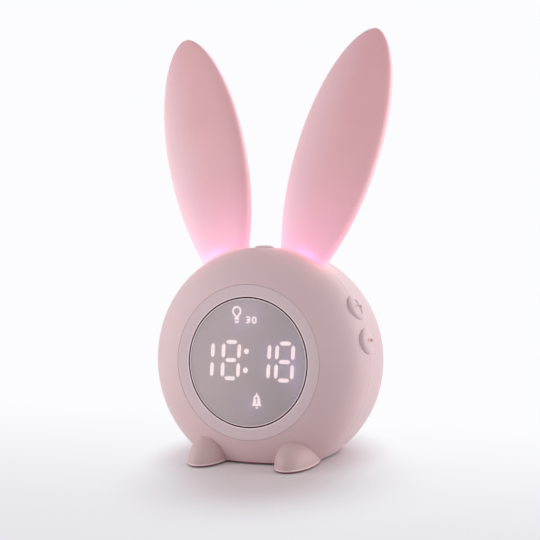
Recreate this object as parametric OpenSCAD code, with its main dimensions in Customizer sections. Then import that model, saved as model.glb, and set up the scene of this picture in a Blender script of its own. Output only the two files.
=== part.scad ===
// Bedside alarm clock with two glowing ears.
// Millimetres, +Z up, the face looks along -Y. The origin is on the surface the clock stands on,
// under the centre of the case. The case, the ears and what they hold are drawn upright in the
// case's own frame, with its origin at the case's centre, and then leaned back together.

/* [Case] */
// Largest diameter of the round case
case_d = 110; // [106:0.5:116]
// How far the flat face lies in front of the widest plane
face_forward = 19; // [18:0.25:21]
// How far the back lies behind the widest plane
rear_depth = 45; // [44:0.5:50]
// Roundness of the front edge, 2 is an ellipse
front_roundness = 2.7; // [2.4:0.05:3]
// Roundness of the back, 2 is an ellipse
rear_roundness = 3.1; // [3:0.05:3.5]
// Thickness of the case walls
wall = 2; // [1.8:0.1:2.2]
// Height of the case's centre above the surface it stands on
centre_h = 46.3; // [45.6:0.1:47.5]
// How far the whole clock leans back, in degrees
lean_back = 7; // [5:0.25:8.5]
// How far the joint between the two shells lies in front of the widest plane
part_forward = 1.5; // [1:0.1:2]
// Depth of the small flat on top, under the top key
top_flat_cut = 1; // [0.7:0.05:1.2]
// Height of the lip that lines up the shells
lip_h = 2; // [1.5:0.1:2.5]
// Thickness of that lip
lip_wall = 1.2; // [1:0.1:1.4]

/* [Face] */
// Diameter of the display window
window_d = 60; // [59:0.1:60.5]
// Thickness of the display window
window_thick = 2.2; // [2:0.1:2.4]
// Width of the ring between the gasket and the case
bezel_w = 6; // [5.5:0.1:6.8]
// Width of the dark gasket round the window
gasket_w = 0.5; // [0.4:0.05:0.7]
// How far the gasket lies below the face
gasket_sunk = 0.3; // [0.2:0.05:0.6]
// Width of the ledge under the window
ledge_w = 2; // [1.7:0.1:2.2]
// Depth of the face ring
face_ring_h = 4.1; // [3.9:0.1:4.3]
// Bevel on the edges of the face ring
face_ring_bevel = 0.25; // [0.15:0.05:0.35]
// Thickness of the mask film behind the window
film_thick = 0.4; // [0.3:0.05:0.5]
// Depth of the light box behind the film
light_box_h = 6.9; // [6.5:0.1:7.5]
// Thickness of the collar and of the flange that carry the face ring
seat_wall = 1.9; // [1.7:0.1:2.1]

/* [Display] */
// Diameter of the window that this section's sizes are for, and they follow the real window
display_for_d = 60; // [58:0.5:62]
// Height of the middle bars above the centre of the window
digit_mid = 0.85; // [0:0.05:1.5]
// Distance between the bars of a digit, from one to the next above it
bar_pitch = 8.6; // [8.2:0.1:8.9]
// Distance between the two upright strokes of a digit
stroke_gap = 8.15; // [7.9:0.05:8.4]
// Width of a stroke
stroke_w = 1.7; // [1.5:0.05:1.9]
// Length of an upright stroke
upright_len = 6.5; // [6.2:0.1:6.8]
// Length of a level stroke
bar_len = 5.6; // [5.3:0.1:5.9]
// Slant of the digits, in degrees
digit_slant = 3.2; // [2:0.1:4]
// Place of the first figure of the hours, across
hour_ten_x = -18.4; // [-18.8:0.1:-18]
// Place of the second figure of the hours, across
hour_one_x = -8.7; // [-9:0.1:-8.4]
// Place of the colon, across
colon_x = -0.8; // [-1.1:0.1:-0.5]
// Place of the first figure of the minutes, across
minute_ten_x = 11; // [10.7:0.1:11.3]
// Place of the second figure of the minutes, across
minute_one_x = 19; // [18.7:0.1:19.3]
// Radius of a colon dot
dot_r = 1.25; // [1.1:0.05:1.4]
// Length of the light guides behind the figures
guide_len = 3.8; // [3:0.1:4.5]
// Radius of the lamp symbol's globe
lamp_r = 2.45; // [2.2:0.05:2.7]
// Width of the line that draws the small symbols
symbol_line = 0.9; // [0.8:0.05:1]
// Height of the timer figures
timer_h = 3.3; // [3.1:0.1:3.5]
// Width of one timer figure
timer_w = 2.5; // [2.4:0.05:2.6]
// Height of the bell symbol
bell_h = 5.6; // [5.3:0.1:5.9]
// Width of the bell symbol
bell_w = 4.8; // [4.6:0.1:5.1]
// Side of the small lamps on the display board
led_side = 0.6; // [0.5:0.05:0.65]
// Width of the bridges that hold the middles of closed shapes
bridge_w = 0.45; // [0.4:0.05:0.6]

/* [Ears] */
// Length of an ear, from the case to its tip
ear_len = 114; // [106:1:120]
// Greatest width of an ear
ear_w = 41.4; // [39:0.2:43]
// Width of an ear where it meets the case
ear_root_w = 23.8; // [22:0.2:24.2]
// Greatest thickness of an ear
ear_thick = 10; // [9.4:0.1:10.6]
// Where along the ear it is widest, as a share of its length
ear_belly = 0.47; // [0.43:0.01:0.52]
// Thickness of the ear's translucent wall
ear_wall = 1.5; // [1.3:0.1:1.7]
// Distance of each ear's root from the middle
ear_root_x = 20.8; // [20.5:0.1:21.5]
// Height of each ear's root above the case's centre
ear_root_z = 49.8; // [49.4:0.1:50.2]
// How far each ear tilts outwards, in degrees
ear_tilt = 15.5; // [14:0.25:17]
// How far each ear leans back from the case, in degrees
ear_lean = 7.9; // [5:0.25:9]
// Length of the stem inside the case, down to its flange
ear_stem = 5; // [4.8:0.1:5.4]
// Thickness of the flange at the stem's end
ear_flange_h = 1.5; // [1.2:0.1:1.8]
// How far the flange stands out round the stem
ear_flange_w = 1.8; // [1.5:0.1:2]

/* [Keys] */
// Diameter of the side keys
side_key_d = 12; // [11.4:0.1:12.4]
// How far the side keys stand out of the case
side_key_proud = 1.6; // [1.4:0.1:1.8]
// Diameter of the top key
top_key_d = 9.6; // [9:0.1:10.4]
// How far the top key stands out of the flat on top
top_key_proud = 1.5; // [1.3:0.1:2]
// How deep the side keys reach into the case
side_key_deep = 4.8; // [4.6:0.1:5]
// How deep the top key reaches below the flat on top
top_key_deep = 3.4; // [3.2:0.1:3.6]
// Length of the stem between a key and its plunger
key_stem_len = 2.4; // [2.2:0.1:2.6]
// Height of the dome on a side key
side_key_dome_h = 1.6; // [1.4:0.1:1.8]
// Height of the dome on the top key
top_key_dome_h = 1.1; // [0.8:0.1:1.2]
// How far a key sinks when it is pressed
key_travel = 0.8; // [0.5:0.1:1]
// Angle of the upper side keys above the level, in degrees
upper_key_angle = 28.4; // [27.8:0.2:29.4]
// Angle of the lower side keys above the level, in degrees
lower_key_angle = 11.4; // [10.4:0.2:12]
// How far the right-hand keys lie in front of the widest plane
key_forward = 2.5; // [2:0.1:3]
// How far the left-hand key lies behind the widest plane
key_behind = 9; // [8.5:0.1:9.5]
// How far a key's flange stands out round it
key_flange_w = 1.2; // [1:0.1:1.3]
// Thickness of that flange
key_flange_h = 1; // [0.8:0.1:1.1]
// Width of the signs on the keys
key_sign_w = 7.4; // [7:0.1:7.8]
// Depth of the signs cut into the keys
key_sign_cut = 0.8; // [0.7:0.05:0.9]
// Thickness of the lines of the signs
key_sign_line = 0.9; // [0.7:0.05:1.1]

/* [Feet] */
// Distance of each foot from the middle
foot_x = 22.5; // [21.5:0.1:23.5]
// How far the middle of a foot's oval lies in front of the case's centre
foot_forward = 16.4; // [15.5:0.1:17.5]
// Width of a foot
foot_w = 19; // [18:0.1:20]
// Length of a foot's oval, most of which lies in front of the case
foot_len = 33.6; // [32:0.1:35]
// Height of a foot
foot_h = 13.4; // [12.6:0.1:14]
// Height of the rounding along a foot's sole
sole_edge_h = 1.4; // [1:0.1:1.8]
// Radius of the peg that holds a foot in the case
peg_r = 1.7; // [1.5:0.1:2]
// Length of the grip pad under the case
pad_len = 40; // [34:1:44]
// Width of the grip pad, from front to back
pad_w = 26; // [22:1:28]
// Thickness of the grip pad
pad_thick = 1.5; // [1.3:0.1:1.6]
// How far the grip pad stands below the case
pad_proud = 0.5; // [0.4:0.05:0.7]

/* [Boards and switches] */
// Thickness of the circuit boards
board_thick = 1.2; // [1:0.1:1.6]
// Side of a key switch
switch_side = 6; // [5.8:0.1:6.2]
// Height of a key switch without its plunger
switch_h = 3.4; // [3.2:0.1:3.6]
// Radius of a switch's plunger
plunger_r = 1.6; // [1.4:0.05:1.7]
// How far a plunger stands out of its switch
plunger_out = 1.2; // [1.1:0.05:1.4]
// Radius of the stem between a key and its plunger
stem_r = 1.8; // [1.6:0.05:2]
// Diameter of the display board
display_board_d = 62; // [60:0.5:64]
// Width of the main board
main_board_w = 40; // [38:0.5:41]
// Height of the main board
main_board_h = 26; // [25:0.5:27]
// How far the main board lies behind the widest plane
main_board_y = 34.2; // [33.8:0.1:34.6]
// Height of the main board's centre above the case's centre
main_board_z = -20; // [-20.5:0.1:-19.5]
// Width of the charging socket
socket_w = 7.6; // [7.4:0.1:8]
// Height of the charging socket
socket_h = 3; // [2.8:0.1:3.2]
// Length of a key board
key_board_len = 36; // [35.5:0.5:37]
// Width of a key board
key_board_w = 12; // [11.8:0.1:12.6]

/* [Battery and speaker] */
// Length of the battery, across the case
battery_len = 40; // [34:0.5:40.5]
// Width of the battery, from front to back
battery_w = 28; // [26:0.5:28.5]
// Thickness of the battery
battery_h = 8; // [6:0.1:8.4]
// Thickness of the foam under the battery
foam_h = 1; // [0.8:0.1:1.2]
// Diameter of the speaker
speaker_d = 36; // [32:0.5:36.5]
// Depth of the speaker behind its flange, magnet included
speaker_depth = 10; // [9:0.1:11]
// Height of the speaker's centre above the case's centre
speaker_z = 14; // [13.5:0.1:14.5]
// Diameter of a hole of the grille
grille_hole_d = 1.8; // [1.4:0.1:2.2]
// Distance between the rings of holes of the grille
grille_pitch = 3.6; // [3.2:0.1:3.8]

/* [Fasteners] */
// Shank diameter of the screws that join the shells
case_screw_d = 2.5; // [2.3:0.1:2.7]
// Length of their shanks
case_screw_len = 16; // [14:0.5:17]
// Diameter of their heads
case_screw_head_d = 4.6; // [4.2:0.1:4.8]
// Height of their heads
case_screw_head_h = 1.8; // [1.5:0.1:2]
// Distance of these screws from the case's centre line
case_screw_ring_r = 42.5; // [42:0.1:43]
// Shank diameter of the small screws
small_screw_d = 1.8; // [1.6:0.1:1.9]
// Length of the small screws' shanks
small_screw_len = 4; // [3.6:0.1:4.4]
// Diameter of the small screws' heads
small_screw_head_d = 3.4; // [3:0.1:3.6]
// Height of the small screws' heads
small_screw_head_h = 1.2; // [1:0.1:1.4]

/* [Clearances] */
// Gap at a seam between two outer pieces
seam_gap = 0.1; // [0.05:0.01:0.15]
// Gap round a piece that sits in a pocket
fit_gap = 0.05; // [0.04:0.01:0.08]
// Gap round a key in its hole
key_gap = 0.25; // [0.2:0.01:0.3]
// Gap between an ear's stem and its slot
ear_gap = 0.15; // [0.1:0.01:0.2]
// How much wider the slot is above an ear's root, where the ear swells
ear_flare_room = 0.35; // [0.3:0.05:0.5]
// Gap between a foot and the case
foot_gap = 0.1; // [0.05:0.01:0.15]
// Gap between inner pieces that do not touch
inner_gap = 0.3; // [0.25:0.01:0.4]

/* [Hidden] */

$fn = 64;

// Colours
shell_pink = [0.87, 0.76, 0.78];
ring_pink = [0.84, 0.74, 0.76];
ear_pink = [0.93, 0.72, 0.77, 0.85];
key_pink = [0.88, 0.78, 0.80];
foot_pink = [0.86, 0.74, 0.76];
window_grey = [0.66, 0.63, 0.65];
gasket_brown = [0.20, 0.15, 0.17];
lit_white = [1.0, 0.95, 0.96];
white_plastic = [0.93, 0.93, 0.92];
board_green = [0.10, 0.36, 0.22];
chip_black = [0.08, 0.08, 0.09];
steel = [0.70, 0.71, 0.73];
cell_silver = [0.78, 0.79, 0.81];
foam_grey = [0.35, 0.35, 0.37];
ribbon_white = [0.86, 0.88, 0.90];
cone_black = [0.12, 0.12, 0.13];

// Case
case_r = case_d / 2;
reach = 2 * case_d + ear_len;
profile_steps = 14;
inner_face = face_forward - wall;
inner_back = rear_depth - wall;
inner_r = case_r - wall;
floor_z = pad_proud + wall;
top_flat_z = case_r - top_flat_cut;

// Face, as distances in front of the widest plane
window_r = window_d / 2;
gasket_in_r = window_r + fit_gap;
gasket_out_r = gasket_in_r + gasket_w;
pocket_r = gasket_out_r + fit_gap;
ledge_r = pocket_r - ledge_w;
ring_r = pocket_r + bezel_w;
face_r = ring_r + seam_gap;
window_back = face_forward - window_thick;
ring_back = face_forward - face_ring_h;
film_back = window_back - film_thick;
light_box_back = film_back - light_box_h;
seat_back = ring_back - seat_wall;
seat_in_r = ledge_r + bezel_w;
box_r = ledge_r - 2 * fit_gap;
box_flange_r = seat_in_r - inner_gap;
box_flange_h = 1.5;
display_lug_r = face_r + seat_wall + small_screw_head_d / 2;
display_lug_w = small_screw_head_d + 2.2;
display_angles = [0, 90, 180, 270];
display_k = window_d / display_for_d;
film_screw_places = window_r * [[-0.667, 0.517], [0.667, 0.517], [-0.6, -0.583], [0.6, -0.583]];

// Ears
ear_sides = 28;
ear_steps = 22;
cavity_steps = 16;
cavity_end = 0.92;
ear_section = 3.4;
collar_wall = 1.6;

// Keys, as distances from the case's centre along the key's own axis
side_key_in = case_r - side_key_deep;
top_key_in = top_flat_z - top_key_deep;
side_keys = [[1, upper_key_angle], [1, lower_key_angle], [-1, upper_key_angle]];
key_axis_angle = (upper_key_angle + lower_key_angle) / 2;
key_offset_angle = (upper_key_angle - lower_key_angle) / 2;
plunger_top = side_key_in * cos(key_offset_angle) - key_stem_len;
side_board_face = plunger_top - plunger_out - switch_h;
top_plunger_top = top_key_in - key_stem_len;
top_board_face = top_plunger_top - plunger_out - switch_h;
plunger_sunk = plunger_out + key_travel;
key_post_r = small_screw_d / 2 + 1;
key_board_back = key_board_w - switch_side / 2 - 1.5;
key_post_y = key_board_back - key_post_r;
key_post_steps = [-key_board_len / 2 + 2, key_board_len / 2 - 2];
top_board_w = 13;
top_board_front = 4.5;
top_board_back = 10.6;
top_post_x = 4;
top_post_y = 8.4;

// Screws
screw_post_wall = 1.3;
case_screw_angles = [55, 125, 230, 310];
case_post_r = case_screw_head_d / 2 + 0.2 + screw_post_wall;
case_head_y = 8;
front_boss_r = case_screw_d / 2 + 1.9;
small_pilot_r = small_screw_d / 2 + 0.03;
small_hole_r = small_screw_d / 2 + 0.2;

// Main board, speaker and battery
main_post_r = small_screw_d / 2 + 1.1;
main_post_x = main_board_w / 2 - 3;
main_post_dz = main_board_h / 2 - 3;
main_board_back = main_board_y + board_thick;
socket_nose = 43.4;
speaker_r = speaker_d / 2;
speaker_seat_y = 37;
speaker_flange_h = 1.2;
clamp_h = 1.2;
clamp_screw_r = speaker_r + 4;
clamp_screw_angles = [90, 210, 330];
foot_sides = 44;
foot_steps = 14;
foot_dome = 2.8;
foot_sole_in = 0.08;
foot_rake = 0.1;
peg_out = 8.5;
peg_len = 10.5;
battery_front = -1;
rib_h = 5;
rib_wall = 1.2;
ribbon_w = 12;
ribbon_thick = 0.3;
ribbon_socket_h = 2;
ribbon_display_z = -25;
ribbon_main_z = -13;

// ---------------------------------------------------------------- helpers

// Leans what is drawn in the case's frame back, and lifts it to its height.
module lean() {
  translate([0, 0, centre_h]) rotate([-lean_back, 0, 0]) children();
}

// Turns a profile of [radius, y] points round the case's front to back axis.
module turned(points) {
  rotate([-90, 0, 0]) rotate_extrude($fn = 96) polygon(points);
}

// A disc or rod along Y, from y0 back to y1.
module rod_y(r, y0, y1, x = 0, z = 0) {
  translate([x, y0, z]) rotate([-90, 0, 0]) cylinder(r = r, h = y1 - y0);
}

// A plate in the plane of the face, from y0 back to y1, from a flat outline.
module plate_y(y0, y1) {
  translate([0, y1, 0]) rotate([90, 0, 0]) linear_extrude(y1 - y0) children();
}

// A block given by its lowest and highest corners.
module block(low, high) {
  translate(low) cube(high - low);
}

// Everything above a height.
module above(z) {
  block([-reach, -reach, z], [reach, reach, reach]);
}

// Points of a superellipse with the given half sizes.
function ring_points(a, b, n) = [
  for (i = [0 : ear_sides - 1])
    let (t = 360 * i / ear_sides, c = cos(t), s = sin(t))
      [sign(c) * a * pow(abs(c), 2 / n), sign(s) * b * pow(abs(s), 2 / n)]
];

// ---------------------------------------------------------------- case

// Outline of the case as [radius, y], moved in by inset. The front is a superellipse that would
// reach nose_forward on the centre line, and the flat face cuts it off.
nose_forward = face_forward
  / pow(1 - pow(face_r / case_r, front_roundness), 1 / front_roundness);
function face_angle(inset) =
  asin(pow((face_forward - inset) / (nose_forward - inset), front_roundness / 2));
function case_profile(inset) = concat(
  [[0, -(face_forward - inset)]],
  [for (i = [profile_steps : -1 : 0])
    let (a = face_angle(inset) * i / profile_steps)
      [(case_r - inset) * pow(cos(a), 2 / front_roundness),
       -(nose_forward - inset) * pow(sin(a), 2 / front_roundness)]],
  [for (i = [1 : profile_steps])
    let (a = 90 * i / profile_steps)
      [(case_r - inset) * pow(cos(a), 2 / rear_roundness),
       (rear_depth - inset) * pow(sin(a), 2 / rear_roundness)]]
);

// The case as a full body, moved in by inset, with its flat top and its flat base.
module case_body(inset) {
  intersection() {
    lean() difference() {
      turned(case_profile(inset));
      block([-case_r, -case_r, top_flat_z - inset], [case_r, case_r, case_r + 1]);
    }
    above(pad_proud + inset);
  }
}

// The wall of the case, all round.
module case_wall() {
  difference() {
    case_body(0);
    case_body(wall);
  }
}

// All that lies in front of the joint, or behind it, in the case's frame.
module front_half() {
  block([-reach, -reach, -reach], [reach, -part_forward, reach]);
}
module rear_half() {
  block([-reach, -part_forward, -reach], [reach, reach, reach]);
}

// Puts its children at each case screw, in the case's frame.
module at_case_screws() {
  for (a = case_screw_angles)
    translate([case_screw_ring_r * cos(a), 0, case_screw_ring_r * sin(a)]) children();
}

// Puts its children at each screw of the light box, in the case's frame.
module at_display_lugs() {
  for (a = display_angles)
    translate([display_lug_r * cos(a), 0, display_lug_r * sin(a)]) children();
}

// The recess for the grip pad in the base.
module pad_shape(grow, z0, z1) {
  corner = 6 + grow;
  half_x = pad_len / 2 + grow;
  half_y = pad_w / 2 + grow;
  block([-half_x, -half_y + corner, z0], [half_x, half_y - corner, z1]);
  block([-half_x + corner, -half_y, z0], [half_x - corner, half_y, z1]);
  for (x = [-1, 1], y = [-1, 1])
    translate([x * (half_x - corner), y * (half_y - corner), z0]) cylinder(r = corner, h = z1 - z0);
}

// What both shells leave open for the ears, the keys and the grip pad.
module shell_openings() {
  lean() {
    for (side = [-1, 1]) at_ear(side) {
      ear_prism(ear_gap, -ear_stem - 1, ear_stem + 4);
      ear_prism(ear_gap + ear_flare_room, ear_flare_room, ear_stem + 4);
      ear_prism(ear_flange_w + inner_gap, -ear_stem - 3 * ear_flange_h, -ear_stem);
    }
    translate([0, 0, top_flat_z - wall - 1]) cylinder(r = top_key_d / 2 + key_gap, h = 2 * wall + 2);
    for (k = side_keys) at_key(k[0], k[1]) {
      translate([0, 0, side_key_in]) cylinder(r = side_key_d / 2 + key_gap, h = side_key_deep + wall);
      translate([0, 0, side_key_in - key_stem_len])
        cylinder(r = side_key_d / 2 + key_flange_w + inner_gap, h = key_stem_len + key_flange_h + fit_gap);
    }
  }
  pad_shape(fit_gap, -1, pad_thick);
  for (side = [-1, 1]) foot_peg(side, fit_gap);
}

// Short walls round the ear slots, which the ears' flanges bear on.
module ear_collars() {
  lean() for (side = [-1, 1]) at_ear(side) ear_prism(ear_gap + collar_wall, -ear_stem, 0);
}

module front_shell() {
  color(shell_pink) difference() {
    intersection() {
      union() {
        case_wall();
        lean() {
          turned([[seat_in_r, -ring_back], [face_r, -ring_back], [face_r, -face_forward],
                  [display_lug_r + 4, -face_forward], [display_lug_r + 4, -seat_back],
                  [seat_in_r, -seat_back]]);
          at_display_lugs() rod_y(small_screw_head_d / 2 + 0.9, -inner_face - 0.5, -seat_back);
          at_case_screws() rod_y(front_boss_r, -inner_face - 0.5, -part_forward);
        }
        ear_collars();
      }
      case_body(0);
      lean() front_half();
    }
    lean() {
      rod_y(face_r, -face_forward - 1, -ring_back);
      rod_y(seat_in_r, -ring_back - 1, 0);
      at_display_lugs() rod_y(small_pilot_r, -seat_back - small_screw_len, 0);
      at_case_screws() rod_y(case_screw_d / 2 + 0.03, -case_screw_len + case_head_y - 1, 0);
    }
    shell_openings();
  }
}

// Lip of the rear shell that reaches into the front shell. It leaves out the top and the keys.
module shell_lip() {
  r = inner_r - inner_gap;
  difference() {
    intersection() {
      lean() turned([
        [r - lip_wall, -part_forward - lip_h], [r, -part_forward - lip_h], [r, -part_forward],
        [inner_r + lip_wall / 2, -part_forward], [inner_r + lip_wall / 2, 2], [r - lip_wall, 1]]);
      above(floor_z + inner_gap);
    }
    lean() {
      block([-ear_root_x, -reach, 0], [ear_root_x, reach, reach]);
      for (k = side_keys) at_key(k[0], k[1]) translate([0, 0, side_key_in - key_stem_len - wall])
        cylinder(r = side_key_d / 2 + key_flange_w + inner_gap, h = case_r);
      for (side = [-1, 1]) at_ear(side)
        ear_prism(ear_flange_w + inner_gap, -ear_stem - 3 * ear_flange_h, ear_stem);
    }
  }
}

module rear_shell() {
  color(shell_pink) difference() {
    union() {
      intersection() {
        union() {
          case_wall();
          ear_collars();
          lean() {
            at_case_screws() rod_y(case_post_r, -part_forward, rear_depth);
            main_board_posts();
            speaker_posts();
            side_key_posts();
            top_key_posts();
          }
          battery_ribs();
        }
        case_body(0);
        lean() rear_half();
      }
      shell_lip();
    }
    lean() {
      at_case_screws() {
        rod_y(case_screw_d / 2 + 0.2, -part_forward - 1, case_head_y + 1);
        rod_y(case_screw_head_d / 2 + 0.2, case_head_y, rear_depth + 1);
      }
      main_board_pilots();
      speaker_pilots();
      side_key_pilots();
      top_key_pilots();
      grille_holes();
      socket_opening();
    }
    shell_openings();
  }
}

module face_ring() {
  b = face_ring_bevel;
  color(ring_pink) lean() turned([
    [pocket_r + b, -face_forward], [ring_r - b, -face_forward], [ring_r, -face_forward + b],
    [ring_r, -ring_back], [ledge_r, -ring_back], [ledge_r, -window_back],
    [pocket_r, -window_back], [pocket_r, -face_forward + b]]);
}

module display_window() {
  b = face_ring_bevel;
  color(window_grey) lean() turned([
    [0, -face_forward], [window_r - b, -face_forward], [window_r, -face_forward + b],
    [window_r, -window_back], [0, -window_back]]);
}

module window_gasket() {
  color(gasket_brown) lean() turned([
    [gasket_in_r, -face_forward + gasket_sunk], [gasket_out_r, -face_forward + gasket_sunk],
    [gasket_out_r, -window_back], [gasket_in_r, -window_back]]);
}

// ---------------------------------------------------------------- display

// Moves a point of a digit sideways with its height, which slants the digit.
function slanted(p) = [p[0] + (p[1] - digit_mid) * tan(digit_slant), p[1]];

// A stroke with pointed ends, upright or level.
module stroke(x, z, len, upright, grow) {
  half = len / 2 + grow;
  w = stroke_w / 2 + grow;
  shape = [[0, half], [w, half - w], [w, w - half], [0, -half], [-w, w - half], [-w, half - w]];
  polygon([for (p = shape) slanted(upright ? [x + p[0], z + p[1]] : [x - p[1], z + p[0]])]);
}

module figure_one(x, grow) {
  for (s = [-1, 1]) stroke(x, digit_mid + s * bar_pitch / 2, upright_len, true, grow);
}

module figure_eight(x, grow) {
  for (s = [-1, 1]) figure_one(x + s * stroke_gap / 2, grow);
  for (s = [-1, 0, 1]) stroke(x, digit_mid + s * bar_pitch, bar_len, false, grow);
}

module dots(grow) {
  for (s = [-1, 1]) translate(slanted([colon_x, digit_mid + s * bar_pitch / 2]))
    circle(r = dot_r + grow);
}

// A lamp: a ring for the globe, a neck and two short bars for the cap.
lamp_place = display_for_d * [-11 / 120, 2 / 5];
module lamp_outline(grow) {
  line = symbol_line + 2 * grow;
  translate(lamp_place) {
    difference() {
      circle(r = lamp_r + grow);
      circle(r = lamp_r - symbol_line - grow);
      translate([0, -lamp_r]) square([bridge_w - 2 * grow, 2 * lamp_r], center = true);
    }
    translate([0, -lamp_r - symbol_line]) square([2.4 + 2 * grow, 0.8 * line], center = true);
    translate([0, -lamp_r - 2.3 * symbol_line]) square([1.6 + 2 * grow, 0.7 * line], center = true);
  }
}

// The timer's figures 3 and 0, drawn with level and upright bars.
timer_place = display_for_d * [19 / 600, 1 / 3];
module timer_bar(x, z, w, h, grow) {
  translate([timer_place[0] + x, timer_place[1] + z])
    square([w + 2 * grow, h + 2 * grow], center = true);
}
module timer_outline(grow) {
  line = 0.75 * symbol_line;
  step = (timer_h - line) / 2;
  left = -(timer_w + line) / 2 - 0.2;
  right = -left;
  for (s = [-1, 0, 1]) timer_bar(left, s * step, timer_w - (s == 0 ? line : 0), line, grow);
  timer_bar(left + (timer_w - line) / 2, 0, line, timer_h, grow);
  for (s = [-1, 1]) timer_bar(right, s * step, timer_w, line, grow);
  for (s = [-1, 1], v = [-1, 1])
    timer_bar(right + s * (timer_w - line) / 2, v * (timer_h + bridge_w) / 4, line,
              (timer_h - bridge_w) / 2, grow);
}

// A bell with a round crown, a flared skirt and a small clapper.
bell_place = display_for_d * [49 / 600, -33 / 100];
module bell_outline(grow) {
  half = bell_w / 2 + grow;
  crown = bell_w / 3 + grow;
  translate(bell_place) {
    polygon([[-half, 0], [half, 0], [half, 0.8], [crown, 0.35 * bell_h], [crown, 0.6 * bell_h],
             [-crown, 0.6 * bell_h], [-crown, 0.35 * bell_h], [-half, 0.8]]);
    translate([0, 0.6 * bell_h]) circle(r = crown);
    translate([0, 0.6 * bell_h + bell_w / 3]) square([0.7 + 2 * grow, 1.2], center = true);
    translate([0, -1.1]) circle(r = 0.6 + grow);
  }
}

// Lets what is drawn for a window of display_for_d follow the real window.
module fit_display() {
  scale([display_k, display_k]) children();
}

// Every lit shape, for the openings in the film and the light box.
module lit_outlines(grow) fit_display() {
  figure_one(hour_ten_x, grow);
  figure_eight(hour_one_x, grow);
  figure_one(minute_ten_x, grow);
  figure_eight(minute_one_x, grow);
  dots(grow);
  lamp_outline(grow);
  timer_outline(grow);
  bell_outline(grow);
}

module light_guide() {
  color(lit_white) lean() plate_y(-window_back, -window_back + guide_len) fit_display() children();
}

module hour_digits() light_guide() {
  figure_one(hour_ten_x, 0);
  figure_eight(hour_one_x, 0);
}

module minute_digits() light_guide() {
  figure_one(minute_ten_x, 0);
  figure_eight(minute_one_x, 0);
}

module colon_dots() light_guide() dots(0);

module lamp_symbol() light_guide() lamp_outline(0);

module timer_mark() light_guide() timer_outline(0);

module bell_symbol() light_guide() bell_outline(0);

module mask_film() {
  color(chip_black) lean() difference() {
    rod_y(box_r, -window_back, -film_back);
    plate_y(-window_back - 1, -film_back + 1) lit_outlines(fit_gap);
  }
}

module light_box() {
  color(white_plastic) lean() difference() {
    union() {
      rod_y(box_r, -film_back, -light_box_back);
      rod_y(box_flange_r, -ring_back, -seat_back);
      rod_y(box_flange_r, -seat_back - 0.1, -seat_back + box_flange_h);
      for (a = display_angles) rotate([0, -a, 0])
        block([0, -seat_back, -display_lug_w / 2],
              [display_lug_r + display_lug_w / 2 - 0.6, -seat_back + box_flange_h, display_lug_w / 2]);
    }
    plate_y(-film_back - 1, -light_box_back + 1) lit_outlines(fit_gap);
    at_display_lugs() rod_y(small_hole_r, -seat_back - 1, -seat_back + box_flange_h + 1);
    for (p = film_screw_places) rod_y(small_pilot_r, -light_box_back - small_screw_len, 0, p[0], p[1]);
  }
}

module display_board() {
  color(board_green) lean() difference() {
    rod_y(display_board_d / 2, -light_box_back, -light_box_back + board_thick);
    for (p = film_screw_places)
      rod_y(small_hole_r, -light_box_back - 1, -light_box_back + board_thick + 1, p[0], p[1]);
  }
}

// One small lamp on the front of the display board, behind a lit shape.
module board_led(p) {
  half = led_side / 2;
  q = display_k * p;
  block([q[0] - half, -light_box_back - led_side, q[1] - half],
        [q[0] + half, -light_box_back, q[1] + half]);
}

module display_leds() {
  lamp_ring_r = lamp_r - symbol_line / 2;
  uprights = [hour_ten_x, hour_one_x - stroke_gap / 2, hour_one_x + stroke_gap / 2, minute_ten_x,
              minute_one_x - stroke_gap / 2, minute_one_x + stroke_gap / 2, colon_x];
  color(lit_white) lean() {
    for (x = uprights, s = [-1, 1]) board_led(slanted([x, digit_mid + s * bar_pitch / 2]));
    for (x = [hour_one_x, minute_one_x], s = [-1, 0, 1]) board_led(slanted([x, digit_mid + s * bar_pitch]));
    board_led(bell_place + [0, bell_h / 3]);
    for (a = [0, 90, 180]) board_led(lamp_place + lamp_ring_r * [cos(a), sin(a)]);
    for (s = [-1, 0, 1]) board_led(timer_place + [-0.64 * timer_w, 0.4 * timer_h * s]);
  }
}

// ---------------------------------------------------------------- ears

// Puts its children in an ear's frame: Z runs up the ear from its root, Y goes through it.
module at_ear(side) {
  translate([side * ear_root_x, 0, ear_root_z]) rotate([-ear_lean, 0, 0])
    rotate([0, side * ear_tilt, 0]) children();
}

// Half width of the ear at a share t of its length: a swelling root, then a rounded taper.
function ear_half_w(t) = t < ear_belly
  ? ear_w / 2 - (ear_w - ear_root_w) / 2 * pow((ear_belly - t) / ear_belly, 2.15)
  : ear_w / 2 * pow(max(0, 1 - pow((t - ear_belly) / (1 - ear_belly), 2)), 0.57);

// Half thickness of the ear at a share t of its length.
function ear_half_t(t) = ear_thick / 2 * pow(max(0, 1 - pow(t, 4)), 0.5);

// Share of the length at each ring, closer together near the tip.
function ear_share(i, steps, end) = end * sin(90 * i / steps);

// A ring of points of the ear at height z with half sizes a and b.
function ear_ring(z, a, b) = [for (p = ring_points(a, b, ear_section)) [p[0], p[1], z]];

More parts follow.
